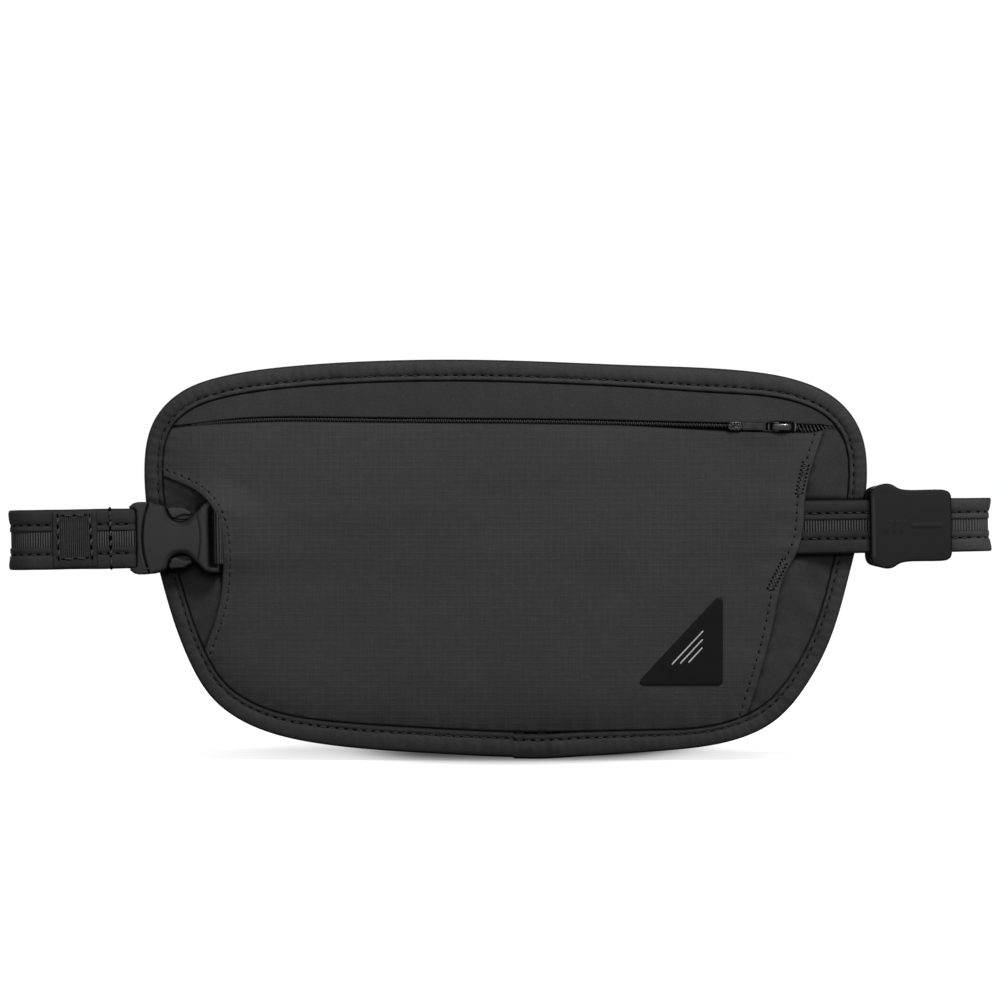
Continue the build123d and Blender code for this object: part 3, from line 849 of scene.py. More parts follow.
def fold_shape(distance, radius=0.55, fall=0.5):
    """Fall of a folded edge at a distance in from it."""
    return -fall * (1 - rolled(distance, radius))


def front_face(points):
    """Depth of the front panel's face, with its turned hems and its folded top edge."""
    depth = pouch_front(points)
    for line, row in zip((LEFT_LINE, RIGHT_LINE), HEM_ROWS):
        distance, along = nearest(points, line)
        seam, at = nearest(points, row)
        doubled = 1 - ease(distance, 3.0, 4.2)
        dip = (0.16 + 0.42 * hole_wave(at, length_of(row), STITCH_PITCH)) * bump(seam, 0, 0.5)
        wave = 0.16 * np.sin(along * 0.55 + 1.3 * np.sin(along * 0.13)) * np.exp(-distance / 4)
        depth += 0.4 * doubled - dip + wave + fold_shape(distance)
    return depth + fold_shape(nearest(points, LOWER_EDGE)[0])


def sheet_relief(loop, face, thickness, rings, spacing):
    """Sheet of cloth between its face, given as a depth function of plane points, and its back."""
    return relief(loop, lambda plane, gap: face(plane), lambda plane, gap: face(plane) - thickness,
                  rings, spacing)


def make_front_panel():
    left_top = arc_between(UNDER_BINDING, LOWER_EDGE[0], LEFT_LINE[0])
    bottom = arc_between(UNDER_BINDING, LEFT_LINE[-1], RIGHT_LINE[-1])
    left = LEFT_LINE[inside(LEFT_LINE, UNDER_BINDING)]
    right = RIGHT_LINE[inside(RIGHT_LINE, UNDER_BINDING)]
    right = right[right[:, 1] < np.interp(right[:, 0], *LOWER_EDGE.T) - 0.4]
    top = LOWER_EDGE[inside(LOWER_EDGE, UNDER_BINDING)]
    top = top[top[:, 0] < right[0, 0]]
    loop = np.vstack([left_top[1:-1], left, bottom[1:-1], right[::-1], top[::-1]])
    rings = (0.15, 0.4, 0.8, 1.2, 1.5, 1.9, 2.3, 2.6, 2.9, 3.2, 3.6, 4.3)
    points, faces, flat = sheet_relief(evened(loop, 0.75), front_face, 0.5, rings, 1.5)
    # painted shade under the folded hem and zip edges, and where the panel runs under the binding
    edge = edge_shade(closest(flat, FREE_EDGES), 0.9, 0.36)
    rim = edge_shade(rim_state(flat)[1], 0.98, 0.36)
    piece = put("front_panel_cloth", points, faces, ripstop, "pouch", "ripstop_fabric", ("front_panel",),
                flat, edge * rim)


def make_middle_panel():
    over = arc_between(UNDER_BINDING, (-131, 46), LOWER_EDGE[-1])
    top = LOWER_EDGE[inside(LOWER_EDGE, UNDER_BINDING) & (LOWER_EDGE[:, 0] > 112)]
    loop = np.vstack([over, top[::-1], [(110, 48.5), (100, 47), (0, 48), (-120, 47)]])

    def face(plane):
        near = nearest(plane, LOWER_EDGE)[0]
        shown = ease(plane[:, 0], 108, 114)
        hem = closest(plane, (LEFT_LINE, RIGHT_LINE))
        sewn = np.exp(-(hem / 7) ** 2) * (1 - np.exp(-((plane[:, 1] - strap_line(plane[:, 0])) / 15) ** 4))
        share = np.maximum(0.85 * shown * np.exp(-(near / 5) ** 2), sewn)
        return pouch_middle(plane) + (front_face(plane) - 0.55 - pouch_middle(plane)) * share

    points, faces, flat = sheet_relief(evened(loop, 1.0), face, 0.45, PANEL_RINGS, 1.8)
    # painted shade along the front panel's free edges, and under the binding, the strap and the buckle
    shade = edge_shade(closest(flat, FREE_EDGES), 0.5, 0.7) * rim_shade(flat)
    piece = put("middle_panel_cloth", points, faces, smooth_cloth, "pouch", "pouch_fabric",
                ("middle_panel",), flat, shade)


def make_top_strip():
    over = arc_between(UNDER_BINDING, UPPER_EDGE[-1], UPPER_EDGE[0])
    edge = UPPER_EDGE[inside(UPPER_EDGE, UNDER_BINDING)]
    loop = evened(np.vstack([over, edge]), 0.8)

    def face(plane):
        distance, along = nearest(plane, UPPER_EDGE)
        wave = 0.12 * np.sin(along * 0.23 + 2 * np.sin(along * 0.031)) * np.exp(-distance / 5)
        return pouch_front(plane) + fold_shape(distance) + wave

    points, faces, flat = sheet_relief(loop, face, 0.5, PANEL_RINGS, 1.4)
    # darker towards the right end; painted shade under the folded zip edge and the binding
    right_end = 1 - 0.2 * ease(flat[:, 0], 95, 118)
    shade = edge_shade(nearest(flat, UPPER_EDGE)[0]) * rim_shade(flat) * right_end
    piece = put("top_strip_cloth", points, faces, smooth_cloth, "pouch", "pouch_fabric", ("top_strip",),
                flat, shade)


def make_back():
    loop = resample(UNDER_BINDING, 620, closed=True)
    points, faces, flat = sheet_relief(loop, lambda plane: pouch_back(plane) + 0.9, 0.9, PANEL_RINGS, 2.2)
    piece = put("back_panel_mesh", points, faces, spacer_mesh, "pouch", "mesh_fabric", ("back_panel",), flat)
    loop = resample(rim_inset(RIM_WIDTH + 1.0), 380, closed=True)
    points, faces, flat = sheet_relief(loop, lambda plane: pouch_back(plane) + 1.5, 0.3, (0.8,), 3.0)
    piece = put("pocket_lining_cloth", points, faces, lining_cloth, "pouch", "lining_fabric",
                ("pocket_lining",), flat)


# across the binding from its inner to its outer edge: share of the width or the inset, height or depth,
# # how puffy it is there, and its shade, a painted shade darkest in the inner groove and round the outer rim
BINDING_SEAM = 0.75
BINDING_FRONT = [(1.0, -1.2, 0, 0.1), (1.0, -0.4, 0, 0.1), (0.995, 0.1, 0, 0.1), (0.975, 0.38, 0.2, 0.4),
                 (0.93, 0.55, 0.5, 0.95), (0.87, 0.58, 0.8, 1), (0.81, 0.42, 0.4, 1),
                 (0.775, 0.22, 0.2, 0.9), (0.75, 0.12, 0, 0.75), (0.725, 0.22, 0.2, 0.9),
                 (0.69, 0.45, 0.4, 1), (0.62, 0.72, 0.8, 1), (0.5, 0.9, 1, 1), (0.36, 0.92, 1, 1)]
BINDING_EDGE = [(0.2, 5.2, 1), (0.11, 4.9, 0.95), (0.07, 4.7, 0.6), (0.04, 4.4, 0.15),
                (0.0, RIM_DEPTH, 0.08), (0.04, 2.25, 0.3), (0.1, 1.8, 0.9), (0.2, 1.4, 1)]
BINDING_BACK = [(0.36, -0.75, 1), (0.5, -0.72, 1), (0.62, -0.55, 0.8), (0.69, -0.35, 0.4),
                (0.725, -0.15, 0.2), (0.75, -0.08, 0), (0.775, -0.15, 0.2), (0.81, -0.35, 0.4),
                (0.87, -0.48, 0.8), (0.93, -0.45, 0.5), (0.975, -0.3, 0.2), (0.995, -0.1, 0),
                (1.0, 0.4, 0), (1.0, 1.2, 0)]


def make_binding():
    """Folded tape round the edge: a flattened tube whose section follows the outline."""
    total = length_of(np.vstack([RIM, RIM[:1]]))
    line = resample(RIM, int(total / 0.5), closed=True)
    across = normals_of(line, closed=True)
    width = binding_width(line, -across[:, 1])
    along = np.arange(len(line)) * total / len(line)
    start = int(np.argmin(np.hypot(line[:, 0] - 3.2, line[:, 1] + 77)))
    past_start = (along - along[start]) % total
    lap = ease(past_start, 0.0, 0.7) * (1 - ease(past_start, 9, 30))
    outward = 0.55 * lap
    inner = line + across * width[:, None]
    inner_front = pouch_front(inner) + 1.0
    inner_back = pouch_back(inner) - 1.0
    stitches = int(round(total / 3.65))
    wave = np.abs(np.cos(along * math.pi * stitches / total)) ** 10
    puff = 0.10 * np.cos(along * math.tau * stitches / total)
    puff += 0.13 * np.sin(along * 0.5 + 2 * np.sin(along * 0.07)) + 0.10 * np.sin(along * 0.21)
    sections = []
    for share, height, soft, shade in BINDING_FRONT:
        base = inner_front * share + RIM_FRONT * (1 - share)
        dip = wave * 0.4 * bump(share, BINDING_SEAM, 0.04)
        sections.append((width * share, base + height + puff * soft + lap * 0.5 - dip, shade))
    for inset, depth, shade in BINDING_EDGE:
        sections.append((width * inset, np.full(len(line), depth) + puff * 0.4, shade))
    for share, height, soft in BINDING_BACK:
        base = inner_back * share + RIM_BACK * (1 - share)
        dip = wave * 0.3 * bump(share, BINDING_SEAM, 0.04)
        sections.append((width * share, base + height - puff * soft - lap * 0.4 + dip, 1))
    grid = []
    for inset, depth, shade in sections:
        plane = line + across * (inset - outward)[:, None]
        grid.append(standing(plane, depth))
    grid = np.stack(grid, 1)
    points, faces = skin(grid, wrap_along=True)
    round_place = np.r_[0, np.cumsum(np.linalg.norm(np.diff(grid[0], axis=0), axis=1))]
    cloth = np.stack(np.broadcast_arrays(along[:, None], round_place[None]), -1).reshape(-1, 2)
    # painted shade: the sections' shade, shadows of the strap and buckle, lighter towards the top and darker
    # towards the left end, as the light falls
    shades = np.tile([shade for inset, depth, shade in sections], len(line))
    shades *= under_shade(np.stack([points[:, 0], points[:, 2]], 1)) * (1 + 0.0022 * points[:, 2])
    shades *= 1 - 0.2 * ease(-points[:, 0], 118, 132)
    put("edge_binding_tape", points, faces, binding_cloth, "pouch", "binding_tape", ("edge_binding",), cloth,
        shades)

    rows = []
    rest = 1 - BINDING_SEAM
    for base, facing in ((inner_front * BINDING_SEAM + RIM_FRONT * rest + 0.12 + lap * 0.5, -1.0),
                         (inner_back * BINDING_SEAM + RIM_BACK * rest - 0.08 - lap * 0.4, 1.0)):
        path = standing(line + across * (width * BINDING_SEAM - outward)[:, None], base)
        holes = resample(path, stitches, closed=True)
        out = np.tile((0.0, facing, 0.0), (stitches + 1, 1))
        rows.append(sew(np.vstack([holes, holes[:1]]), out, slant=0.1 * facing, pit=1.7, pit_width=0.75))
    sewing("binding", rows, "pouch")


def make_panel_stitches():
    rows = []
    for row in HEM_ROWS:
        holes = row_holes(row, STITCH_PITCH)
        place = standing(holes, front_face(holes) + 0.22)
        rows.append(sew(place, forward(len(holes)), pit=1.55, pit_width=0.68))
    sewing("hem", rows, "pouch")

    tacks = []
    for centre, angle in (((115.2, 31.2), 77), ((105.6, -6.2), 63)):
        turn = math.radians(angle)
        ahead = np.array([math.cos(turn), math.sin(turn)])
        aside = np.array([-ahead[1], ahead[0]])
        steps = np.arange(-8, 9) * 0.78
        zigzag = np.where(np.arange(len(steps)) % 2 == 0, 1.2, -1.2)
        holes = np.array(centre) + ahead * steps[:, None] + aside * zigzag[:, None]
        place = standing(holes, front_face(holes) + 0.12)
        tacks.append(sew(place, forward(len(holes)), slant=0, pit=0.95, radius=0.3, lift=0.3, pit_width=0.75))
    sewing("bartack", tacks, "pouch", 1.0, ("tunnel_bartacks",))


def rounded(corners, radius, step=0.3):
    """Closed polygon with its corners rounded, as points about step apart."""
    corners = np.array(corners, float)
    line = []
    radii = np.broadcast_to(radius, len(corners))
    for i, corner in enumerate(corners):
        before = corners[i - 1] - corner
        after = corners[(i + 1) % len(corners)] - corner
        before_length, after_length = np.linalg.norm(before), np.linalg.norm(after)
        before, after = before / before_length, after / after_length
        half = math.acos(np.clip(before @ after, -1, 1)) / 2
        reach = min(radii[i] / max(math.tan(half), 1e-6), before_length * 0.48, after_length * 0.48)
        for t in np.linspace(0, 1, 9):
            line.append((1 - t) ** 2 * (corner + before * reach) + 2 * t * (1 - t) * corner
                        + t * t * (corner + after * reach))
    line = np.array(line)
    return resample(line, max(int(length_of(line) / step), 24), closed=True)


def rolled(gap, radius):
    """Share of full thickness at a distance in from a rounded edge of the given radius."""
    return np.sqrt(np.clip(1 - (1 - np.clip(gap / radius, 0, 1)) ** 2, 0, 1))


def make_badge():
    corners = [(84.4, -12.3), (50.3, -48.9), (84.4, -48.9)]
    loop = rounded(corners, 2.0, 0.6)
    points, faces, flat = relief(
        loop, lambda plane, gap: pouch_front(plane) + 0.1 + 0.35 * rolled(gap, 0.35),
        lambda plane, gap: pouch_front(plane) - 0.1, (0.05, 0.15, 0.35), 1.5)
    put("corner_badge_film", points, faces, badge_film, "pouch", "badge_rubber", ("corner_badge",))
    along = np.array([math.cos(math.radians(47)), math.sin(math.radians(47))])
    aside = np.array([along[1], -along[0]])
    parts = []
    for row, (start, end) in enumerate(((-9.5, 9.0), (-7.0, 6.5), (-4.5, 4.0))):
        middle = np.array([68.2, -31.7]) + aside * (3.6 + row * 2.1)
        corners = [middle + along * start - aside * 0.3, middle + along * start + aside * 0.3,
                   middle + along * end + aside * 0.3, middle + along * end - aside * 0.3]
        loop = rounded(corners, 0.28, 0.3)
        part = relief(loop, lambda plane, gap: pouch_front(plane) + 0.45 + 0.1 * rolled(gap, 0.15),
                      lambda plane, gap: pouch_front(plane) + 0.3, (0.1,), 1.0)
        parts.append(part[:2])
    points, faces = joined(parts)
    put("badge_stripes", points, faces, white_print, "pouch", "badge_rubber")


# ---------------------------------------------------------------- zipper
TAPE_DEPTH = 5.6
COIL_DEPTH = 6.45


def make_zipper():
    x = np.linspace(-128, 129, 260)
    for side, node in ((1, "zipper_tape_upper"), (-1, "zipper_tape_lower")):
        rows = []
        for height in (0.25, 1.2, 2.5, 4.5, 7.0):
            plane = np.stack([x, zip_line(x) + side * height], 1)
            rows.append(standing(plane, np.minimum(TAPE_DEPTH, pouch_front(plane) - 1.6)))
        under = [row + (0, 0.35, 0) for row in rows[::-1]]
        grid = np.stack(rows + under, 1)
        points, faces = skin(grid)
        flat = np.stack([points[:, 0], points[:, 2]], 1)
        if side > 0:
            faces = [face[::-1] for face in faces]
        put(node + "_cloth", points, faces, tape_cloth, "pouch", "zipper_tape", (node,), flat)

    pitch = 1.46
    for side, node in ((1, "zipper_coil_upper"), (-1, "zipper_coil_lower")):
        place = np.arange(-119.5 + (0.5 * pitch if side < 0 else 0), 128.0, pitch)
        spread = ease(place, 112.5, 115.5) * (1 - ease(place, 119, 128.5))
        inner = -0.5 + 0.05 * spread
        outer = 0.75 + 1.4 * spread
        lean = -0.2 - 0.55 * spread
        middle = (inner + outer) / 2
        plane = np.stack([place, zip_line(place) + side * middle - 0.35 * spread], 1)
        ahead = np.stack([lean * side, np.zeros(len(place)), side * np.ones(len(place))], 1)
        ahead /= np.linalg.norm(ahead, axis=1)[:, None]
        out = forward(len(place))
        depth = np.minimum(COIL_DEPTH + 0.5 * spread, pouch_front(plane) - 0.9)
        points, faces = threads(standing(plane, depth), ahead, out, outer - inner + 0.25, 0.3, 0.25)
        # painted light on the coil: lit crests and shaded sides
        crest = 0.03 + 1.8 * np.clip(np.sin(turns(THREAD_SIDES)), 0, 1) ** 2
        put(node + "_teeth", points, faces, coil_nylon, "pouch", "zipper_coil", (node,),
            shade=np.tile(crest, len(points) // THREAD_SIDES))
    stops = (("zipper_stop_left", -121.0, (0,)), ("zipper_stops_right", 125.0, (-0.8, 0.8)))
    for name, place, sides in stops:
        parts = []
        for side in sides:
            x = place + np.array((-1.0, -0.8, 0.0, 0.8, 1.0))
            line = np.stack([x, zip_line(x) + side], 1)
            depth = pouch_front(line) - 1.3
            size = np.array((0.2, 0.5, 0.55, 0.5, 0.2))
            rows = [standing(line + (0, 1) * size[:, None] * math.cos(t), depth + size * 0.8 * math.sin(t))
                    for t in turns(12)]
            parts.append(skin(np.stack(rows, 1)))
        put(name + "_clip", *joined(parts), black_metal, "pouch", "zipper_coil", (name,))


# ---------------------------------------------------------------- straps
def turn_points(centre, radius, start, end, count):
    """Arc in plan of (x, depth) points about a centre, angles in degrees from +x towards the front."""
    angle = np.radians(np.linspace(start, end, count))
    return np.stack([centre[0] + radius * np.cos(angle), centre[1] + radius * np.sin(angle)], 1)


def strap_frames(plan, step):
    """Even points along a plan line, the way out of its left side, and lengths along it."""
    total = length_of(plan)
    line = resample(plan, int(total / step))
    side = normals_of(line)
    return line, side, np.linspace(0, total, len(line))


def strap_points(line, side, off, across):
    """Points in space at off from the strap's middle surface and across its width."""
    plan = line[:, None] + side[:, None] * off[..., None]
    x = plan[..., 0] * math.cos(STRAP_SLOPE) - across * math.sin(STRAP_SLOPE)
    z = STRAP_HEIGHT + plan[..., 0] * math.sin(STRAP_SLOPE) + across * math.cos(STRAP_SLOPE)
    return np.stack([x, -plan[..., 1], z], -1)


def sleeve_section(half, slot, seam):
    """Section of the strap sleeve: out from its middle surface, across, how soft it is, and its painted
    shade.
    """
    corners = [
        (0.30, slot, 0, 0.15), (0.86, slot + 0.02, 0.2, 0.2), (1.08, slot + 0.22, 0.3, 0.7),
        (1.16, slot + 0.8, 0.6, 1), (1.05, seam - 0.75, 0.3, 1), (0.80, seam - 0.3, 0, 0.85),
        (0.68, seam, 0, 0.65), (0.80, seam + 0.3, 0, 0.85), (1.08, seam + 0.8, 0.4, 1),
        (1.24, seam * 0.6 + half * 0.4, 1, 1), (1.24, seam * 0.3 + half * 0.7, 1, 1),
        (1.10, half - 0.9, 0.8, 1), (0.80, half - 0.25, 0.4, 0.35), (0.35, half - 0.03, 0, 0.1),
        (0.0, half, 0, 0.08), (-0.5, half - 0.06, 0, 0.3), (-0.95, half - 0.5, 0.3, 1),
        (-1.1, half * 0.7, 0.5, 1), (-0.85, seam, 0, 0.8), (-1.1, seam * 0.5, 0.3, 1), (-1.1, 0, 0.3, 1),
    ]
    mirror = [(off, -across, soft, shade) for off, across, soft, shade in corners[:-1]][::-1]
    return np.array(corners + mirror)


def sleeve_grid(line, side, along, section, seam, thin, flare, seed, shift=0.0):
    """Sleeve swept along the strap, with puffy stitched flaps either side of the slot."""
    ripple = np.array([noise.noise((s / 9, seed, 0.0)) for s in along])
    fine = np.array([noise.noise((s / 3.5, seed, 9.0)) for s in along])
    edge = np.array([noise.noise((s / 14, seed, 5.0)) for s in along])
    stitches = np.abs(np.cos(along * math.pi / STRAP_STITCH)) ** 8
    off, across, soft = (section[..., axis] for axis in range(3))
    near_seam = np.exp(-((np.abs(across) - seam) / 0.45) ** 2) * (off > 0)
    swell = soft * (0.20 * ripple + 0.10 * fine - 0.07 * stitches)[:, None]
    swell -= 0.3 * near_seam * stitches[:, None]
    bulge = flare[:, None] * (np.abs(across) / 10.5) ** 2
    depth = off * thin[:, None] + swell * np.sign(off + 1e-9) * thin[:, None] + bulge
    rim = ease(np.abs(across), seam + 1, seam + 4)
    wide = across + np.sign(across) * rim * 0.2 * edge[:, None]
    wide = wide + np.reshape(shift, (-1, 1)) * np.clip(1 - (across / 10.4) ** 2, 0, 1)
    return strap_points(line, side, depth, wide)


def rib_shade(along, pitch, dark=0.98):
    """Painted light on ribbed webbing: crests lit up to 2.5 times as bright, and deep painted shade in the
    furrows.
    """
    return 2.5 * (1 - dark * np.abs(np.sin(along * math.pi / pitch)) ** 1.4)


def web_grid(line, side, along, half, off, thickness, rib_pitch, rib_height):
    """Ribbed webbing strip: ribs across its width, on both faces."""
    rib = rib_height * (np.abs(np.cos(along * math.pi / rib_pitch)) ** 0.8 - 0.6)
    share = np.array([-1.0, -0.97, -0.9, 0.0, 0.9, 0.97, 1.0])
    edge = np.array([-0.3, -0.08, 0.0, 0.0, 0.0, -0.08, -0.3])
    half = np.broadcast_to(half, len(along))
    off = np.broadcast_to(off, len(along))
    top = off[:, None] + rib[:, None] + edge[None]
    bottom = off[:, None] - thickness - rib[:, None] * 0.6 - edge[None] * 0.5
    offs = np.concatenate([top, bottom[:, ::-1]], 1)
    across = half[:, None] * np.concatenate([share, share[::-1]])[None]
    return strap_points(line, side, offs, across)


def swept(grid, along, shade):
    """Skin of a strap grid, the place of its points on the flat strap, and their shade."""
    points, faces = skin(grid)
    faces = [face[::-1] for face in faces]
    around = np.r_[0, np.cumsum(np.linalg.norm(np.diff(grid[0], axis=0), axis=1))]
    cloth = np.stack(np.broadcast_arrays(along[:, None], around[None]), -1).reshape(-1, 2)
    return points, faces, cloth, np.broadcast_to(shade, grid.shape[:2]).ravel()


def put_strip(name, strip, material, body, slot, replaces=()):
    """Adds a strip of the strap as swept() gives it."""
    points, faces, cloth, shade = strip
    return put(name, points, faces, material, body, slot, replaces, cloth, shade)


def strap_row(line, side, along, across, off, start, end):
    """Stitches along a strap between two lengths, at a distance from its middle line."""
    first, last = int(math.ceil(start / STRAP_STITCH)), int(end / STRAP_STITCH)
    at = np.arange(first, last + 1) * STRAP_STITCH
    plan = np.stack([np.interp(at, along, line[:, axis]) for axis in (0, 1)], 1)
    way = np.stack([np.interp(at, along, side[:, axis]) for axis in (0, 1)], 1)
    way /= np.linalg.norm(way, axis=1)[:, None]
    place = np.interp(at, along, np.broadcast_to(across, len(along)))
    holes = strap_points(plan, way, np.full((len(at), 1), off), place[:, None])[:, 0]
    out = np.stack([way[:, 0], -way[:, 1], 0 * at], 1)
    return sew(holes, out, pit=1.7, radius=0.2, lift=0.16, pit_width=0.62)


def main_plan():
    """Plan of the strap from the tunnel out to the right fold and a little way back."""
    x = np.linspace(-106, 178, 240)
    depth = 7.0 + 1.6 * ease(x, 108, 134)
    front = np.stack([x, depth], 1)
    radius = (RIGHT_DEPTH - REAR_DEPTH) / 2
    centre = (188 - radius - 1.1, (RIGHT_DEPTH + REAR_DEPTH) / 2)
    fold = turn_points(centre, radius, 90, -90, 40)
    rear = np.array([(centre[0] - 1, REAR_DEPTH), (138, REAR_DEPTH)])
    return np.vstack([front[front[:, 0] < centre[0]], fold, rear])


def left_plan():
    """Plan of the strap from the back, round the left fold, to the male buckle's bar."""
    radius = (LEFT_DEPTH - REAR_DEPTH) / 2
    centre = (-192 + radius + 1.1, (LEFT_DEPTH + REAR_DEPTH) / 2)
    rear = np.array([(138, REAR_DEPTH), (centre[0] + 1, REAR_DEPTH)])
    fold = turn_points(centre, radius, 270, 90, 48)
    wrap = turn_points(MALE_BAR, 1.5, 90, -80, 16)
    return np.vstack([rear, fold, wrap])


def make_straps():
    narrow, broad = sleeve_section(10.4, 2.2, 4.95), sleeve_section(11.6, 3.0, 5.65)
    line, side, along = strap_frames(main_plan(), 0.8)
    turned = bump(along, 295.5, 9)
    shift = 0.5 * (1 - ease(line[:, 0], 143, 165))
    grid = sleeve_grid(line, side, along, narrow[None], 4.9, np.ones(len(line)), 1.3 * turned, 1.7, shift)
    # sleeve cloth lighter towards the strap's right end, over the section's painted shade at its slot and
    # outer edges
    lighter_end = (1 + 0.75 * ease(line[:, 0], 169, 174))[:, None]
    put_strip("strap_right_sleeve", swept(grid, along, narrow[None, :, 3] * lighter_end), sleeve_cloth, "pouch",
              "strap_fabric", ("strap_tunnel_sleeve", "strap_fold_sleeve"))
    fine, fine_side, fine_along = strap_frames(main_plan(), RIGHT_RIBS / 8)
    # painted shade in the rib furrows, weaker towards the right end
    furrow_darkness = 0.98 - 0.35 * ease(fine[:, 0], 165, 172)
    grid = web_grid(fine, fine_side, fine_along, 3.3, 0.68, 0.5, RIGHT_RIBS, 0.42)
    web = swept(grid, fine_along, rib_shade(fine_along, RIGHT_RIBS, furrow_darkness)[:, None])
    put_strip("strap_right_webbing", web, ribbed_webbing, "pouch", "webbing", ("strap_main_webbing",))
    rows = [strap_row(line, side, along, across + 0.8 * shift, 0.86, 205, along[-1] - 8)
            for across in (-4.95, 4.95)]
    sewing("strap_right", rows, "pouch")

    line, side, along = strap_frames(left_plan(), 0.8)
    wrap = ease(along, along[-1] - 7, along[-1] - 3.5)
    wide = ease(along, 40, 260)
    seam = 4.9 + 0.75 * wide
    turned = bump(along, along[-1] - 57, 10)
    section = narrow[None] * (1 - wide[:, None, None]) + broad[None] * wide[:, None, None]
    grid = sleeve_grid(line, side, along, section, seam[:, None], 1 - 0.45 * wrap, 0.6 * turned, 4.2)
    # painted shade: a dark line at the left fold's outer edge
    outer = 1 - 0.8 * bump(line[:, 0], -191, 0.7)
    sleeve = swept(grid, along, narrow[None, :, 3] * outer[:, None])
    bend_with_strap(put_strip("strap_left_sleeve_cloth", sleeve, sleeve_cloth, None, "strap_fabric",
                              ("strap_left_sleeve", "strap_rear_sleeve")))
    fine, fine_side, fine_along = strap_frames(left_plan(), LEFT_RIBS / 7)
    half = 2.5 + 0.8 * ease(fine_along, 40, 260)
    off = 0.68 - 0.3 * ease(fine_along, fine_along[-1] - 7, fine_along[-1] - 3.5)
    grid = web_grid(fine, fine_side, fine_along, half, off, 0.5, LEFT_RIBS, 0.3)
    web = swept(grid, fine_along, rib_shade(fine_along, LEFT_RIBS)[:, None])
    bend_with_strap(put_strip("strap_left_webbing_ribs", web, ribbed_webbing, None, "webbing",
                              ("strap_left_webbing",)))
    rows = [strap_row(line, side, along, seam * mirror, 0.86, 8, along[-1] - 6) for mirror in (-1, 1)]
    sewing("strap_left", rows, None)


def flat_row(begin, finish, pitch, off, **style):
    """Stitches in a straight row on the left run, between two (x, across) points."""
    holes = row_holes(np.array([begin, finish], float), pitch)
    count = len(holes)
    plan = np.stack([holes[:, 0], np.full(count, LEFT_DEPTH)], 1)
    place = strap_points(plan, np.tile((0.0, 1.0), (count, 1)), np.full((count, 1), off), holes[:, 1:])[:, 0]
    return sew(place, forward(count), **style)


def make_strap_end():
    """Turned-back webbing end behind the left run, with its box-stitched patch in front."""
    plan = np.vstack([turn_points(MALE_BAR, 1.5, -60, -90, 6), [(-150, 9.7), (-176, 10.6)]])
    fine, side, along = strap_frames(plan, LEFT_RIBS / 7)
    grid = web_grid(fine, side, along, 10.0, 0.5, 1.0, LEFT_RIBS, 0.25)
    web = swept(grid, along, rib_shade(along, LEFT_RIBS)[:, None])
    put_strip("strap_turned_end", web, ribbed_webbing, "male_buckle", "webbing")

    left_end, right_end = -174.9, -157.4
    left, right, top_row, low_row = -172.5, -159.9, 9.1, -7.4
    x = np.arange(left_end, right_end, PATCH_RIBS / 7)
    line = np.stack([x, np.full(len(x), LEFT_DEPTH)], 1)
    side = np.tile((0.0, 1.0), (len(x), 1))
    ends = np.minimum(x - x[0], x[-1] - x)
    reach = np.array([10.8, 10.7, 10.2, 9.2, 8.4, 7.4, 6.9, 6.2])
    rise = np.array([0.9, 1.35, 1.62, 1.7, 1.72, 1.6, 1.5, 1.62])
    across = np.r_[-reach, 0.0, reach[::-1]]
    crown = np.r_[rise, 1.7, rise[::-1]]
    ribbed = 1 - ease(np.abs(across), 7.2, 9.0)
    inner = ease(ends, 1.4, 2.6)
    rib = 0.20 * (np.abs(np.cos(x * math.pi / PATCH_RIBS)) - 0.6)
    seam = 0.22 * (bump(x, left, 0.55) + bump(x, right, 0.55))
    fall = 0.65 * (1 - rolled(ends, 0.7))
    top = crown[None] + (rib * inner)[:, None] * ribbed[None] - (seam + fall)[:, None]
    offs = np.concatenate([top, np.full_like(top, 0.75)], 1)
    grid = strap_points(line, side, offs, np.broadcast_to(np.r_[across, across[::-1]], offs.shape))
    # painted light on the ribs, lit crests and shaded furrows, and painted shade along the patch's ends
    ribs = 1 - (1 - 0.85 * rib_shade(x, PATCH_RIBS, 0.95))[:, None] * (ribbed[None] * inner[:, None])
    edges = edge_shade(ends, 0.8, 0.3) * edge_shade(np.abs(x - right_end), 0.7, 0.3)
    shade = 0.7 * ribs * edges[:, None]
    patch = swept(grid, x - x[0], np.concatenate([shade, shade[:, ::-1]], 1))
    put_strip("strap_patch_webbing", patch, ribbed_webbing, "male_buckle", "webbing", ("strap_end_patch",))

    style = {"pit": 1.9, "radius": 0.42, "lift": 0.42, "pit_width": 1.0}
    thin = {"pit": 1.6, "radius": 0.26, "lift": 0.3, "pit_width": 0.7}
    cross = {"pit": 2.1, "radius": 0.42, "lift": 0.42, "pit_width": 1.25}
    rows = [
        flat_row((left, low_row), (left - 0.3, top_row), 3.9, 1.55, slant=0.35, **style),
        flat_row((right + 0.4, low_row), (right - 0.6, top_row), 3.9, 1.55, slant=0.35, **style),
        flat_row((left + 1.8, top_row + 0.1), (right - 2.0, top_row + 0.2), 3.7, 1.72, slant=0.1, **thin),
        flat_row((left + 1.8, low_row - 0.2), (right - 1.6, low_row + 0.2), 3.7, 1.72, slant=0.1, **thin),
        flat_row((-152.2, -11.0), (-152.5, 11.3), 4.0, 1.12, slant=0.3, **cross),
    ]
    sewing("patch", rows, "male_buckle", shade=0.85)


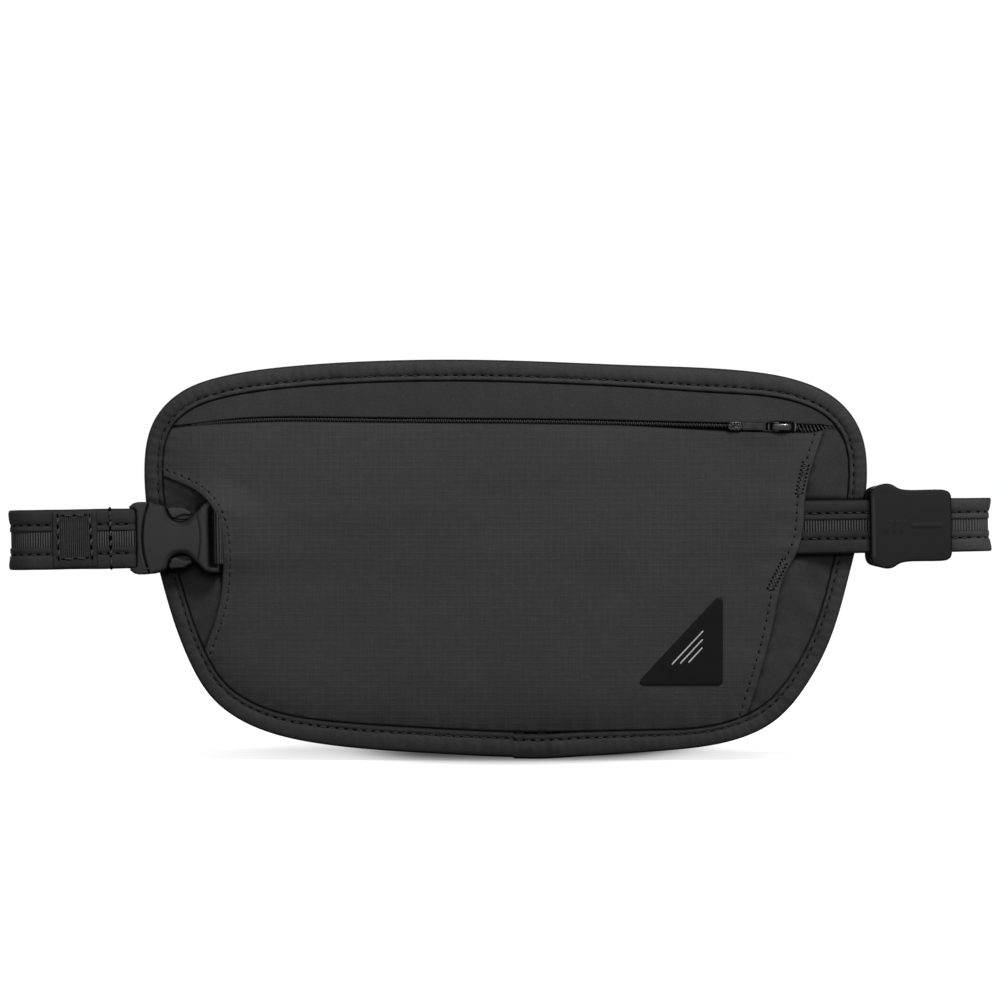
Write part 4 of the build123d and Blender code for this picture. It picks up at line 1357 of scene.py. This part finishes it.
def make_web_loop():
    """Webbing round the female buckle's bar, with both ends in the tunnel."""
    leaving = [(-103, 8.6), (-106, 8.7), (-108.6, 9.6)]
    coming = [(-108.8, 8.6), (-103, 7.4)]
    plan = smooth(np.vstack([leaving, turn_points(FEMALE_BAR, 1.45, 60, 250, 30), coming]), 0.4)
    fine, side, along = strap_frames(plan, LOOP_RIBS / 7)
    # painted light on the ribs, and painted shade where the loop lies in the buckle's slot
    shade = rib_shade(along, LOOP_RIBS) * (0.03 + 0.7 * ease(fine[:, 0], -112.9, -110.6))
    grid = web_grid(fine, -side, along, 10.6, 0.35, 0.75, LOOP_RIBS, 0.25)
    points, faces, cloth, shade = swept(grid, along, shade[:, None])
    put("buckle_web_loop_ribs", points, [face[::-1] for face in faces], ribbed_webbing, "pouch", "webbing",
        ("buckle_web_loop",), cloth, shade)


# ---------------------------------------------------------------- plastic and metal parts
def tilted(points, height, slope):
    """Points of a part drawn level about z = 0, put on a line of the given height and slope."""
    x = points[:, 0] * math.cos(slope) - points[:, 2] * math.sin(slope)
    z = height + points[:, 0] * math.sin(slope) + points[:, 2] * math.cos(slope)
    return np.stack([x, points[:, 1], z], 1)


def on_strap(points):
    return tilted(points, STRAP_HEIGHT, STRAP_SLOPE)


def on_zip(points):
    return tilted(points, ZIP_HEIGHT, -ZIP_SLOPE)


def cut(piece, cutter_points, cutter_faces):
    """Takes a closed body out of a piece."""
    mesh = mesh_of("cutter", cutter_points, cutter_faces)
    tool = bpy.data.objects.new("cutter", mesh)
    bpy.context.scene.collection.objects.link(tool)
    change = piece.modifiers.new("cut", "BOOLEAN")
    change.operation = "DIFFERENCE"
    change.solver = "EXACT"
    change.object = tool
    graph = bpy.context.evaluated_depsgraph_get()
    made = bpy.data.meshes.new_from_object(piece.evaluated_get(graph))
    piece.modifiers.clear()
    old = piece.data
    piece.data = made
    bpy.data.meshes.remove(old)
    bpy.data.objects.remove(tool)
    bpy.data.meshes.remove(mesh)
    made.name = piece.name


def block_faces(x, depth, z):
    """Box between three pairs of limits, as points and faces."""
    corners = np.array([(a, -b, c) for a in x for b in depth for c in z])
    faces = [(0, 1, 3, 2), (4, 6, 7, 5), (0, 4, 5, 1), (2, 3, 7, 6), (0, 2, 6, 4), (1, 5, 7, 3)]
    return corners, faces


def mirrored_loop(upper):
    """Closed loop from its upper half and the same half upside down."""
    lower = np.stack([upper[::-1, 0], -upper[::-1, 1]], 1)
    return np.vstack([upper, lower])


def outline_shade(flat, gap):
    """Painted shade of a small moulding: a dark outline."""
    return edge_shade(gap, 0.8, 0.3)


def moulded(shape, middle, half, rings, spacing, holes=(), shade=outline_shade):
    """Body about a middle depth whose half thickness is a function of plane points and edge distance."""
    points, faces, flat = relief(shape, lambda plane, gap: middle + half(plane, gap),
                                 lambda plane, gap: middle - half(plane, gap), rings, spacing, holes)
    return points, faces, shade(flat, closest(flat, (shape, *holes), closed=True))


def plate(thickness, radius, edge=0.35):
    """Half thickness of a flat plate with rounded edges."""
    return lambda plane, gap: thickness * (edge + (1 - edge) * rolled(gap, radius))


def rod(x, depth, radius, low, high):
    """Round bar that stands along z."""
    rings = [[(x + radius * math.cos(t), -(depth + radius * math.sin(t)), z) for t in turns(16)]
             for z in np.linspace(low, high, 30)]
    points, faces = skin(np.array(rings))
    return points, faces, np.full(len(points), 0.6)


MOUTH_MIDDLE = -139.95
MOUTH_BOW = 2.65
BODY_HALF = 13.95
HEM_OVER = (-116.2, 14.4)


def mouth_line(offset, half, count=50):
    """Arc of the housing's mouth from its upper to its lower end, moved along x by offset in the middle."""
    share = np.linspace(1, -1, count)
    x = MOUTH_MIDDLE + offset * (1 - 0.7 * share ** 4) + MOUTH_BOW * share ** 2
    return np.stack([x, half * share], 1)


def past_mouth(x, z):
    """How far a point is past the housing's mouth along x."""
    return x - MOUTH_MIDDLE - MOUTH_BOW * (z / 13.9) ** 2


def near_scoop(x, z):
    """1 beside the housing's scoops, which the arms' pads stand in."""
    return bump(x, -125.3, 7.0) * ease(np.abs(z), 3.5, 5.5)


def female_face(plane, gap):
    """Half thickness of the housing: crowned body, bevelled scoops, a lower neck and thin ends."""
    x, z = plane.T
    body = 3.8 - 0.5 * (z / 13.9) ** 2 - 0.2 * ease(x, -131, -119)
    step = -117.9 - 1.1 * (z / 8.5) ** 2
    neck = 3.0 - 0.5 * ease(x, -117.5, -114.6)
    share = ease(x - step, -0.18, 0.18)
    groove = 0.35 * bump(x, step + 0.15, 0.28) * (1 - ease(np.abs(z), 7.5, 9.5))
    bevel = 0.75 * (1 - ease(gap, 0.25, 2.2)) * near_scoop(x, z)
    under_hem = (x - HEM_OVER[0]) * 0.834 + (z - HEM_OVER[1]) * 0.552
    end = 1.9 * ease(under_hem, -3.0, -0.3) + 0.6 * ease(x, -114.2, -110.5) * (z < 0)
    height = body * (1 - share) + neck * share - groove - bevel - end
    sharp = np.where(np.abs(past_mouth(x, z)) < 1.2, 0.35, 0.85)
    return height * (0.30 + 0.70 * rolled(gap, sharp))


def female_shade(flat, gap):
    """Painted shade on the housing: dark outline, darkened scoop bevels and shoulders, and a dark step line.
    """
    x, z = flat.T
    bevel = (0.48 + 0.2 * (z > 0)) * (1 - ease(gap, 1.7, 2.5)) * near_scoop(x, z)
    step = 0.85 * bump(x, -117.75 - 1.1 * (z / 8.5) ** 2, 0.32) * (1 - ease(np.abs(z), 8, 9.5))
    away = ease(np.abs(past_mouth(x, z)), 1.0, 2.0)
    shoulder = (0.5 + 0.15 * (z > 0)) * (1 - ease(gap, 0.7, 1.5)) * away
    return edge_shade(gap, 0.85, 0.45) * (1 - np.maximum(bevel, shoulder)) * (1 - step)


def make_female():
    upper = [(-137.3, 13.95), (-135.5, 13.8), (-133.5, 13.35), (-131.9, 12.85), (-131.0, 12.25),
             (-130.6, 11.3), (-130.1, 9.7), (-129.0, 7.75), (-127.3, 6.7), (-125.2, 6.3), (-123.2, 6.8),
             (-121.2, 8.35), (-119.5, 9.9), (-118.2, 11.2), (-116.8, 12.6), (-115.2, 13.55),
             (-113.4, 13.95), (-110.5, 13.95)]
    top = smooth(upper, 0.3)
    heel = np.array([(-110.4, 12.9), (-110.5, 11.6), (-113.9, 11.45), (-114.35, 11.0), (-114.35, 5)])
    side = np.vstack([top, heel])
    loop = np.vstack([mirrored_loop(side), mouth_line(0, BODY_HALF)[::-1][1:-1]])
    loop = evened(loop, 0.28)[::-1]
    rings = (0.03, 0.1, 0.22, 0.4, 0.65, 1.0, 1.4, 1.8)
    points, faces, shade = moulded(loop, BUCKLE_DEPTH, female_face, rings, 0.45, shade=female_shade)
    piece = put("buckle_female_housing", on_strap(points), faces, buckle_plastic, "pouch", "buckle_plastic",
                ("buckle_female",), shade=shade)
    cavity, cavity_faces = block_faces((-145, -118), (BUCKLE_DEPTH - 2.0, BUCKLE_DEPTH + 2.0), (-10.9, 10.9))
    cut(piece, on_strap(cavity), cavity_faces)
    points, faces, shade = rod(*FEMALE_BAR, 0.8, -12.4, 12.4)
    put("buckle_female_bar", on_strap(points), faces, buckle_plastic, "pouch", "buckle_plastic", shade=shade)


def make_male():
    """Flange with its strap bar, the tongue between the arms, and the two spring arms."""
    arc = mouth_line(-0.3, BODY_HALF)
    ear = [(-139.3, 14.1), (-142.0, 14.05), (-143.6, 13.6), (-144.7, 12.7), (-145.2, 11.7), (-144.6, 11.35),
           (-143.2, 11.3), (-142.5, 10.9), (-142.4, 9.5)]
    loop = evened(np.vstack([arc[::-1], mirrored_loop(np.array(ear))]), 0.3)

    def flange(plane, gap):
        x, z = plane.T
        raised = 0.35 * bump(past_mouth(x, z), -1.3, 0.5)
        away = 0.9 * ease(-x, 142.0, 145.2)
        return (2.9 + raised - away - 0.35 * (z / 14) ** 2) * (0.35 + 0.65 * rolled(gap, 0.7))

    parts = [moulded(loop, BUCKLE_DEPTH, flange, (0.03, 0.12, 0.3, 0.55, 0.9, 1.4), 0.5)]
    tongue = rounded([(-141.5, -10.4), (-136.2, -10.4), (-136.2, 10.4), (-141.5, 10.4)], 1.0)
    prong = rounded([(-139, -2.0), (-118.6, -1.5), (-118.6, 1.5), (-139, 2.0)], 1.2)
    rib = rounded([(-138, -0.5), (-121, -0.4), (-121, 0.4), (-138, 0.5)], 0.3, 0.25)
    for shape, thickness in ((tongue, 1.7), (prong, 1.0), (rib, 1.5)):
        parts.append(moulded(shape, BUCKLE_DEPTH, plate(thickness, 0.5), (0.04, 0.2, 0.5), 0.8))
    parts.append(rod(*MALE_BAR, 0.85, -12.6, 12.6))
    points, faces, shade = joined(parts)
    put("buckle_male_body", on_strap(points), faces, buckle_plastic, "male_buckle", "buckle_plastic",
        ("buckle_male",), shade=shade)
    stem = [(-136.6, 6.9), (-136.6, 9.3), (-133.5, 9.6), (-131.0, 9.4), (-129.0, 9.2), (-126.0, 9.8),
            (-123.0, 9.6), (-121.3, 8.8), (-121.2, 7.9), (-122.6, 7.0), (-125.0, 6.75), (-127.6, 7.2),
            (-131, 7.2)]
    pad = [(-130.35, 11.2), (-129.9, 11.65), (-127.5, 11.85), (-124.6, 11.7), (-122.5, 10.6), (-121.0, 9.2),
           (-121.4, 8.75), (-123.3, 8.75), (-124.7, 8.7), (-126.2, 8.0), (-127.5, 7.45), (-128.6, 7.6),
           (-129.8, 9.5)]
    stem_rings, pad_rings = (0.04, 0.15, 0.35), (0.04, 0.15, 0.35, 0.6, 0.9)
    for side, body, node in ((1, "upper_latch", "latch_arm_upper"), (-1, "lower_latch", "latch_arm_lower")):
        parts = []
        for outline, half, rings in ((stem, 1.15, stem_rings), (pad, 1.9, pad_rings)):
            loop = smooth([(x, z * side) for x, z in outline], 0.25, closed=True)
            loop = loop[::-1] if side > 0 else loop

            def face(plane, gap):
                x, z = plane.T
                slope = 0.45 * ease(np.abs(z), 9.0, 11.9) if outline is pad else 0
                return (half - slope) * (0.35 + 0.65 * rolled(gap, 0.6))

            parts.append(moulded(loop, BUCKLE_DEPTH, face, rings, 0.4))
        points, faces, shade = joined(parts)
        put(node + "_spring", on_strap(points), faces, buckle_plastic, body, "buckle_plastic", (node,),
            shade=shade)


def adjuster_mark(plane):
    """Raised generic mark on the adjuster: three slanted strokes and a bar."""
    x, z = plane.T
    total = np.zeros(len(x))
    for place in (148.4, 151.2, 154.0):
        slant = x - place - z * 0.35
        total += (1 - ease(np.abs(slant), 0.45, 0.75)) * (1 - ease(np.abs(z), 2.0, 2.4))
    total += (1 - ease(np.abs(z), 0.55, 0.85)) * ease(x, 156.8, 157.2) * (1 - ease(x, 168.4, 168.8))
    return 0.2 * total


def make_adjuster():
    upper = [(141.1, 9.0), (141.1, 12.0), (141.7, 13.8), (143.5, 15.3), (146.3, 16.3), (148.6, 16.5),
             (150.6, 15.8), (152.3, 14.75), (154.6, 14.1), (158.5, 13.85), (168.6, 13.85), (170.9, 13.5),
             (172.3, 12.5), (172.85, 10.8), (172.9, 8.5)]
    loop = evened(mirrored_loop(smooth(upper, 0.4)), 0.35)[::-1]

    def front(plane, gap):
        x, z = plane.T
        crown = 12.75 - 0.35 * (z / 13.7) ** 2 - 0.3 * ((x - 157) / 16) ** 2
        lip = 2.6 * (1 - ease(x, 141.1, 141.8))
        frame_step = 0.05 * (1 - ease(gap, 1.55, 2.05))
        return crown - lip - frame_step + adjuster_mark(plane) - 1.3 * (1 - rolled(gap, 0.8))

    points, faces, flat = relief(loop, front, lambda plane, gap: np.full(len(plane), 6.15),
                                 (0.05, 0.15, 0.35, 0.65, 1.0, 1.4, 1.7, 2.0), 0.42)
    # painted shade along the edges, and a painted highlight line near the left edge
    shade = edge_shade(nearest(flat, loop, closed=True)[0], 0.85, 0.55)
    shade += 1.1 * bump(flat[:, 0], 142.8, 0.4) * (1 - ease(np.abs(flat[:, 1]), 10.5, 13))
    piece = put("adjuster_cover_shell", on_strap(points), faces, adjuster_plastic, "adjuster",
                "adjuster_plastic", ("adjuster_cover",), shade=shade)
    channel, channel_faces = block_faces((135, 180), (4.0, 11.3), (-11.0, 11.0))
    cut(piece, on_strap(channel), channel_faces)
    base = loop.copy()
    base[:, 0] -= 1.6 * (1 - ease(base[:, 0], 142.4, 145.4))
    holes = [rounded([(x, -9.5), (x + 4.6, -9.5), (x + 4.6, 9.5), (x, 9.5)], 0.8) for x in (148, 160)]
    points, faces, shade = moulded(base, 5.35, plate(0.75, 0.4, 0.3), (0.05, 0.2, 0.4), 0.9, holes)
    # painted shade: the base plate nearly black except at its lower edge
    put("adjuster_base_plate", on_strap(points), faces, adjuster_plastic, "adjuster", "adjuster_plastic",
        ("adjuster_base",), shade=shade * (0.85 - 0.8 * ease(points[:, 2], -11, -8)))
    bar = rounded([(154.2, -11.2), (158.8, -11.2), (158.8, 11.2), (154.2, 11.2)], 0.6)
    points, faces, shade = moulded(bar, 10.75, plate(0.65, 0.5), (0.05, 0.2, 0.5), 1.0)
    put("adjuster_cross_bar", on_strap(points), faces, adjuster_plastic, "adjuster", "adjuster_plastic",
        ("adjuster_bar",), shade=shade)


def make_slider():
    """Slider body with its bridge, and the puller with a knurled grip."""
    loop = rounded([(101.7, -2.4), (113.1, -2.4), (113.1, 2.4), (101.7, 2.4)], 2.2, 0.2)
    parts = []
    for middle, half in ((7.15, 0.5), (4.6, 0.5)):
        parts.append(moulded(loop, middle, plate(half, 0.5, 0.3), (0.04, 0.15, 0.3, 0.5, 0.9), 0.5))
    wedge = rounded([(109.4, -0.3), (112.4, -0.3), (112.4, 0.3), (109.4, 0.3)], 0.2, 0.2)
    parts.append(moulded(wedge, 6.0, plate(1.4, 0.1, 1.0), (0.05,), 0.4))
    arch = smooth([(103.6, 7.2), (103.8, 8.3), (104.8, 9.2), (107.0, 9.5), (109.4, 9.1), (110.6, 8.2),
                   (110.9, 7.2)], 0.25)
    way = normals_of(arch)
    ring = [(np.cos(t) * 0.55, np.sign(np.sin(t)) * abs(np.sin(t)) ** 0.8 * 1.3) for t in turns(20)]
    points, faces = skin(np.array([[(p[0] + n[0] * a, -(p[1] + n[1] * a), b) for a, b in ring]
                                   for p, n in zip(arch, way)]))
    # painted shade darkens the plates, with painted highlights as bright crescents at their ends and on the
    # bridge
    ends = [bump(np.abs(part[0][:, 0] - 107.4), 5.25, 0.22) for part in parts]
    parts = [(part[0], part[1], 0.08 + 2.4 * end) for part, end in zip(parts, ends)]
    parts.append((points, faces, np.full(len(points), 1.4)))
    points, faces, shade = joined(parts)
    put("zipper_slider_body", on_zip(points), faces, black_metal, "slider", "slider_metal",
        ("zipper_slider",), shade=shade)

    depth = 8.25
    eye = rounded([(99.6, -1.95), (106.4, -1.95), (106.4, 1.95), (99.6, 1.95)], 1.0, 0.2)
    hole = rounded([(101.2, -1.42), (104.4, -1.42), (104.4, 1.42), (101.2, 1.42)], 0.4, 0.2)
    tab = rounded([(91.4, -1.55), (100.4, -1.55), (100.4, 1.55), (91.4, 1.55)], 0.35, 0.25)
    parts = [moulded(eye, depth, plate(0.5, 0.35), (0.04, 0.15, 0.35), 0.35, [hole]),
             moulded(tab, depth, plate(0.5, 0.3), (0.04, 0.15, 0.3), 0.5)]
    points, faces, shade = joined(parts)
    put("puller_tab_plate", on_zip(points), faces, black_metal, "puller", "slider_metal", ("puller_tab",),
        shade=shade)
    grip = rounded([(86.3, -1.85), (92.0, -1.85), (92.0, 1.85), (86.3, 1.85)], 1.6, 0.12)

    def knurl(plane, gap):
        x, z = plane.T
        weave = 0.16 * np.cos((x + z) * math.tau / 1.15) * np.cos((x - z) * math.tau / 1.15)
        return (0.95 + weave * ease(gap, 0.1, 0.5)) * (0.4 + 0.6 * rolled(gap, 0.55))

    points, faces, shade = moulded(grip, depth, knurl, (0.05, 0.15, 0.3, 0.5), 0.13)
    put("puller_grip_knob", on_zip(points), faces, black_metal, "puller", "slider_metal", ("puller_grip",),
        shade=shade * 0.6)


# ---------------------------------------------------------------- studio
def aimed(name, kind, place, target=(0, 0, 0), **settings):
    """Adds a lamp at a place, turned to a target."""
    light = bpy.data.lights.new(name, kind)
    for key, value in settings.items():
        setattr(light, key, value)
    lamp = bpy.data.objects.new(name, light)
    lamp.location = place
    lamp.rotation_euler = (Vector(target) - Vector(place)).to_track_quat("-Z", "Y").to_euler()
    bpy.context.scene.collection.objects.link(lamp)


def make_world():
    """Sky that is brightest above the front, dim behind, and plain white to the camera."""
    world = bpy.data.worlds.new("studio")
    bpy.context.scene.world = world
    world.use_nodes = True
    tree = world.node_tree
    seen = tree.nodes["Background"]
    seen.inputs["Color"].default_value = (1, 1, 1, 1)
    seen.inputs["Strength"].default_value = 1.02
    sky = tree.nodes.new("ShaderNodeBackground")
    sky.inputs["Color"].default_value = (1, 1, 1, 1)
    way = tree.nodes.new("ShaderNodeVectorMath")
    way.operation = "DOT_PRODUCT"
    way.inputs[1].default_value = (0.1, -0.6, 0.8)
    tree.links.new(tree.nodes.new("ShaderNodeTexCoord").outputs["Generated"], way.inputs[0])
    strength = tree.nodes.new("ShaderNodeMapRange")
    strength.interpolation_type = "SMOOTHSTEP"
    for key, number in (("From Min", -0.1), ("From Max", 1.0), ("To Min", 0.06), ("To Max", 0.62)):
        strength.inputs[key].default_value = number
    tree.links.new(way.outputs["Value"], strength.inputs["Value"])
    tree.links.new(strength.outputs[0], sky.inputs["Strength"])
    path = tree.nodes.new("ShaderNodeLightPath")
    mix = tree.nodes.new("ShaderNodeMixShader")
    tree.links.new(path.outputs["Is Camera Ray"], mix.inputs[0])
    tree.links.new(sky.outputs[0], mix.inputs[1])
    tree.links.new(seen.outputs[0], mix.inputs[2])
    tree.links.new(mix.outputs[0], tree.nodes["World Output"].inputs[0])


def bell(shader, value, middle, half, power):
    """Falls from 1 at the middle to 0 beyond half, more squarely for a higher even power."""
    away = shader.maths("DIVIDE", shader.maths("SUBTRACT", value, middle), half)
    return shader.maths("EXPONENT", shader.maths("MULTIPLY", shader.maths("POWER", away, power), -1.0))


def make_floor():
    """White floor with a painted soft contact shadow under the pouch, which throws little light back up."""
    height = cad_box[0][2] - 0.0002
    reach = 6.0
    mesh = bpy.data.meshes.new("floor")
    corners = [(x * reach, y * reach, height) for x, y in ((-1, -1), (1, -1), (1, 1), (-1, 1))]
    mesh.from_pydata(corners, [], [(0, 1, 2, 3)])
    floor = bpy.data.objects.new("floor", mesh)
    bpy.context.scene.collection.objects.link(floor)
    paint = Shader("floor_paint", (0.9, 0.9, 0.9), 1.0, 0.0)
    x, y, _ = paint.place(None)
    # painted contact shadow on the floor: a broad patch, and a band that follows the pouch's bottom edge
    broad = paint.maths("MULTIPLY", bell(paint, y, 0.119, 0.104, 2), bell(paint, x, 0.0, 0.096, 4))
    bend = paint.maths("MULTIPLY", paint.maths("POWER", x, 2), 15.6)
    contact = bell(paint, paint.maths("SUBTRACT", y, bend), 0.027, 0.063, 2)
    contact = paint.maths("MULTIPLY", contact, bell(paint, x, 0.008, 0.062, 6))
    shadow = paint.maths("ADD", paint.maths("MULTIPLY", broad, 0.5), paint.maths("MULTIPLY", contact, 0.64))
    white = paint.maths("SUBTRACT", 1.0, shadow)
    path = paint.node("LightPath").outputs["Is Camera Ray"]
    paint.tint(paint.maths("MULTIPLY", paint.span(path, 0, 1, 0.3, 0.5), white))
    paint.surface.inputs["Emission Color"].default_value = (1, 1, 1, 1)
    glow = paint.maths("MULTIPLY", paint.span(path, 0, 1, 0.0, 0.85), white)
    paint.wire(glow, paint.surface.inputs["Emission Strength"])
    mesh.materials.append(paint.done())


def make_studio():
    """Pale floor, soft light from the upper right, and a camera square to the front."""
    scene = bpy.context.scene
    scene.view_settings.view_transform = "Standard"
    make_world()
    make_floor()
    aimed("key", "AREA", (1.1, -1.75, 2.4), energy=80, shape="DISK", size=0.8)
    aimed("back_fill", "SUN", (-0.4, 2.0, 0.45), energy=1.2, angle=math.radians(30))

    camera = bpy.data.cameras.new("camera")
    camera.sensor_width = 36
    distance = 2.2
    view_width = 0.3874
    camera.lens = camera.sensor_width * distance / view_width
    eye = bpy.data.objects.new("camera", camera)
    eye.location = (-0.0019, -distance - 0.008, 0.0229)
    eye.rotation_euler = (math.radians(90), 0, 0)
    scene.collection.objects.link(eye)
    scene.camera = eye


make_front_panel()
make_middle_panel()
make_top_strip()
make_back()
make_binding()
make_panel_stitches()
make_badge()
make_zipper()
make_straps()
make_strap_end()
make_web_loop()
make_female()
make_male()
make_adjuster()
make_slider()
make_studio()

bpy.context.view_layer.update()
